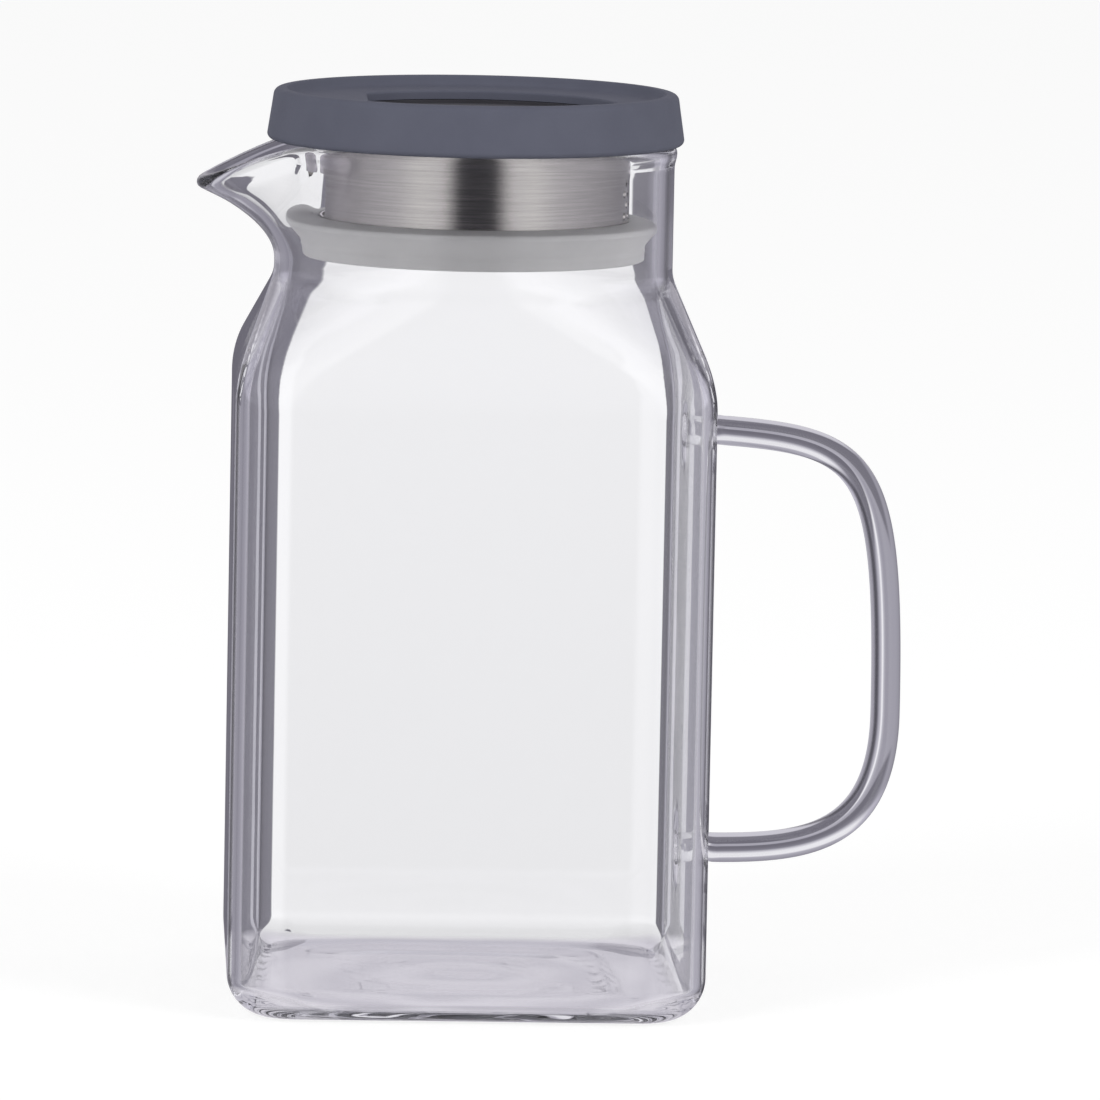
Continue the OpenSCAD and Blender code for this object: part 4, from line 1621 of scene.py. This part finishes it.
        # Even white paint keeps the eye on the jug. Metal and glass look through the board at the
        # world, whose lower half has the board's own tones.
        finish = bpy.data.materials.new("painted_board_white")
        finish.use_nodes = True
        tree = finish.node_tree
        tree.nodes.clear()
        ray = add(tree, "ShaderNodeLightPath").outputs
        plain = add(tree, GLOW, {"Color": (1.0, 1.0, 1.0, 1.0), "Strength": self.floor_glow})
        paint = add(tree, "ShaderNodeBsdfDiffuse", {"Color": (0.32, 0.32, 0.32, 1.0)})
        lit = add(tree, "ShaderNodeAddShader", (plain, paint))
        board = add(tree, "ShaderNodeBsdfDiffuse", {"Color": (0.8, 0.8, 0.8, 1.0)})
        shade, shade_glow = self.shade_tone(tree)
        clear = add(tree, "ShaderNodeBsdfTransparent")
        looked_through = add(tree, MIX_SHADER, (shade, clear, shade_glow))
        below = add(tree, "ShaderNodeNewGeometry").outputs["Backfacing"]
        either = add(tree, MATH, (ray["Is Glossy Ray"], ray["Is Transmission Ray"]), operation="ADD")
        bent = add(tree, MATH, (either, 1.0), operation="MINIMUM")
        front = add(tree, MIX_SHADER, (ray["Is Camera Ray"], board, lit))
        upper = add(tree, MIX_SHADER, (bent, front, looked_through))
        whole = add(tree, MIX_SHADER, (below, upper, clear))
        add(tree, "ShaderNodeOutputMaterial", {"Surface": whole})
        return finish

    def floor(self) -> None:
        """Lays the floor just under the jug."""
        reach = self.floor_reach
        corners = [(-reach, -reach, 0), (reach, -reach, 0), (reach, reach, 0), (-reach, reach, 0)]
        board = mesh_object("floor", np.array(corners, float), [(0, 1, 2, 3)])
        board.location.z = -self.floor_gap * MM
        board.data.materials.append(self.floor_material())
        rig.stage(board)

    def lamp(self, name: str, place: tuple, power: float) -> None:
        """Hangs a soft lamp that faces the jug.

        Args:
            name: The lamp's name.
            place: Its position in millimetres.
            power: Its power in watts.
        """
        data = bpy.data.lights.new(name, "AREA")
        data.shape = "DISK"
        data.size = self.lamp_size * MM
        data.energy = power
        lamp = bpy.data.objects.new(name, data)
        lamp.location = Vector(place) * MM
        aim = Vector((0, 0, self.lamp_aim_z * MM)) - lamp.location
        lamp.rotation_euler = aim.to_track_quat("-Z", "Y").to_euler()
        lamp.visible_glossy = False
        lamp.visible_transmission = False
        lamp.visible_camera = False
        bpy.context.scene.collection.objects.link(lamp)

    def camera(self) -> None:
        """Places the camera where the photograph was taken from, aimed so that the jug fills the frame."""
        a, e = math.radians(self.camera_azimuth), math.radians(self.camera_elevation)
        back = Vector((math.sin(a) * math.cos(e), -math.cos(a) * math.cos(e), math.sin(e)))
        spot = Vector((0, 0, self.target_z)) + back * self.distance
        right = Vector((math.cos(a), math.sin(a), 0))
        up = right.cross(-back)
        roll = math.radians(self.roll)
        rolled_right = right * math.cos(roll) + up * math.sin(roll)
        rolled_up = up * math.cos(roll) - right * math.sin(roll)
        aim = -back * self.focus_px + rolled_right * self.aim_right_px - rolled_up * self.aim_down_px
        aim.normalize()
        side = aim.cross(rolled_up).normalized()
        top = side.cross(aim).normalized()
        turned = Matrix((side, top, -aim)).transposed()
        data = bpy.data.cameras.new("camera")
        data.sensor_width = self.sensor_mm
        data.lens = self.sensor_mm * self.focus_px / self.frame_px
        data.clip_end = 100.0
        camera = bpy.data.objects.new("camera", data)
        camera.matrix_world = Matrix.Translation(spot * MM) @ turned.to_4x4()
        bpy.context.scene.collection.objects.link(camera)
        bpy.context.scene.camera = camera

    def build(self) -> None:
        """Sets up the camera, world, floor and lamps, and lets light turn back in the thick base."""
        bpy.context.scene.view_settings.view_transform = "Standard"
        light_paths = bpy.context.scene.cycles
        light_paths.max_bounces = 64
        light_paths.transmission_bounces = 32
        light_paths.glossy_bounces = 48
        self.camera()
        self.world()
        self.floor()
        self.lamp("left_softbox", (-1300, -1500, 1300), self.key_power)
        self.lamp("right_softbox", (1400, -1300, 1200), self.key_power * self.fill_share)
        log.info("studio ready")


def dress(node: str, finish: Material) -> None:
    """Gives a CAD node that stays its material.

    Args:
        node: The node's name.
        finish: Its material.
    """
    slots = frame["nodes"][node].data.materials
    slots.clear()
    slots.append(finish)
    log.info("%s dressed in %s", node, finish.name)


def main() -> None:
    """Builds the jug's pieces and the studio around them."""
    logging.basicConfig(level=logging.INFO, format="%(name)s: %(message)s")
    glass, steel = ClearGlass().material(), BrushedSteel().material()
    soft_grey = MouldedFinish(
        "silicone_moulded_blue_grey", "#5D5F6D", "#616371", 0.7, 0.35, 0.012, gloss=0.28
    ).material()
    hard_grey = MouldedFinish(
        "polypropylene_moulded_grey", "#3C3B40", "#424147", 0.5, 0.5, 0.02
    ).material()
    soft_white = MouldedFinish(
        "silicone_translucent_white", "#E0DFE0", "#E7E6E7", 0.45, 0.4, 0.01, inner_scatter=0.4
    ).material()
    _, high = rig.box("glass_body")
    jug = GlassJug(GlassBody(high.y / MM, high.z / MM), RodHandle(high.x / MM))
    low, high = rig.box("lid_cover")
    cover = LidCover(low.z / MM, high.z / MM, high.x / MM)
    low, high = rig.box("strainer_collar")
    collar = StrainerCollar(low.z / MM, high.z / MM)
    low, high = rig.box("gasket")
    gasket = SealGasket(low.z / MM, high.z / MM, high.x / MM)
    for part, finish in ((jug, glass), (cover, soft_grey), (collar, steel), (gasket, soft_white)):
        piece = part.build(finish)
        log.info("%s: %d faces", piece.name, len(piece.data.polygons))
    dress("lid_core", hard_grey)
    dress("clamp_ring", hard_grey)
    Studio().build()
    with open("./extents.json") as size_file:
        sizes = json.load(size_file)
    sizes["visual"] = [list(corner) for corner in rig.bounds()]
    with open("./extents.json", "w") as size_file:
        json.dump(sizes, size_file)


if __name__ == "__main__":
    main()
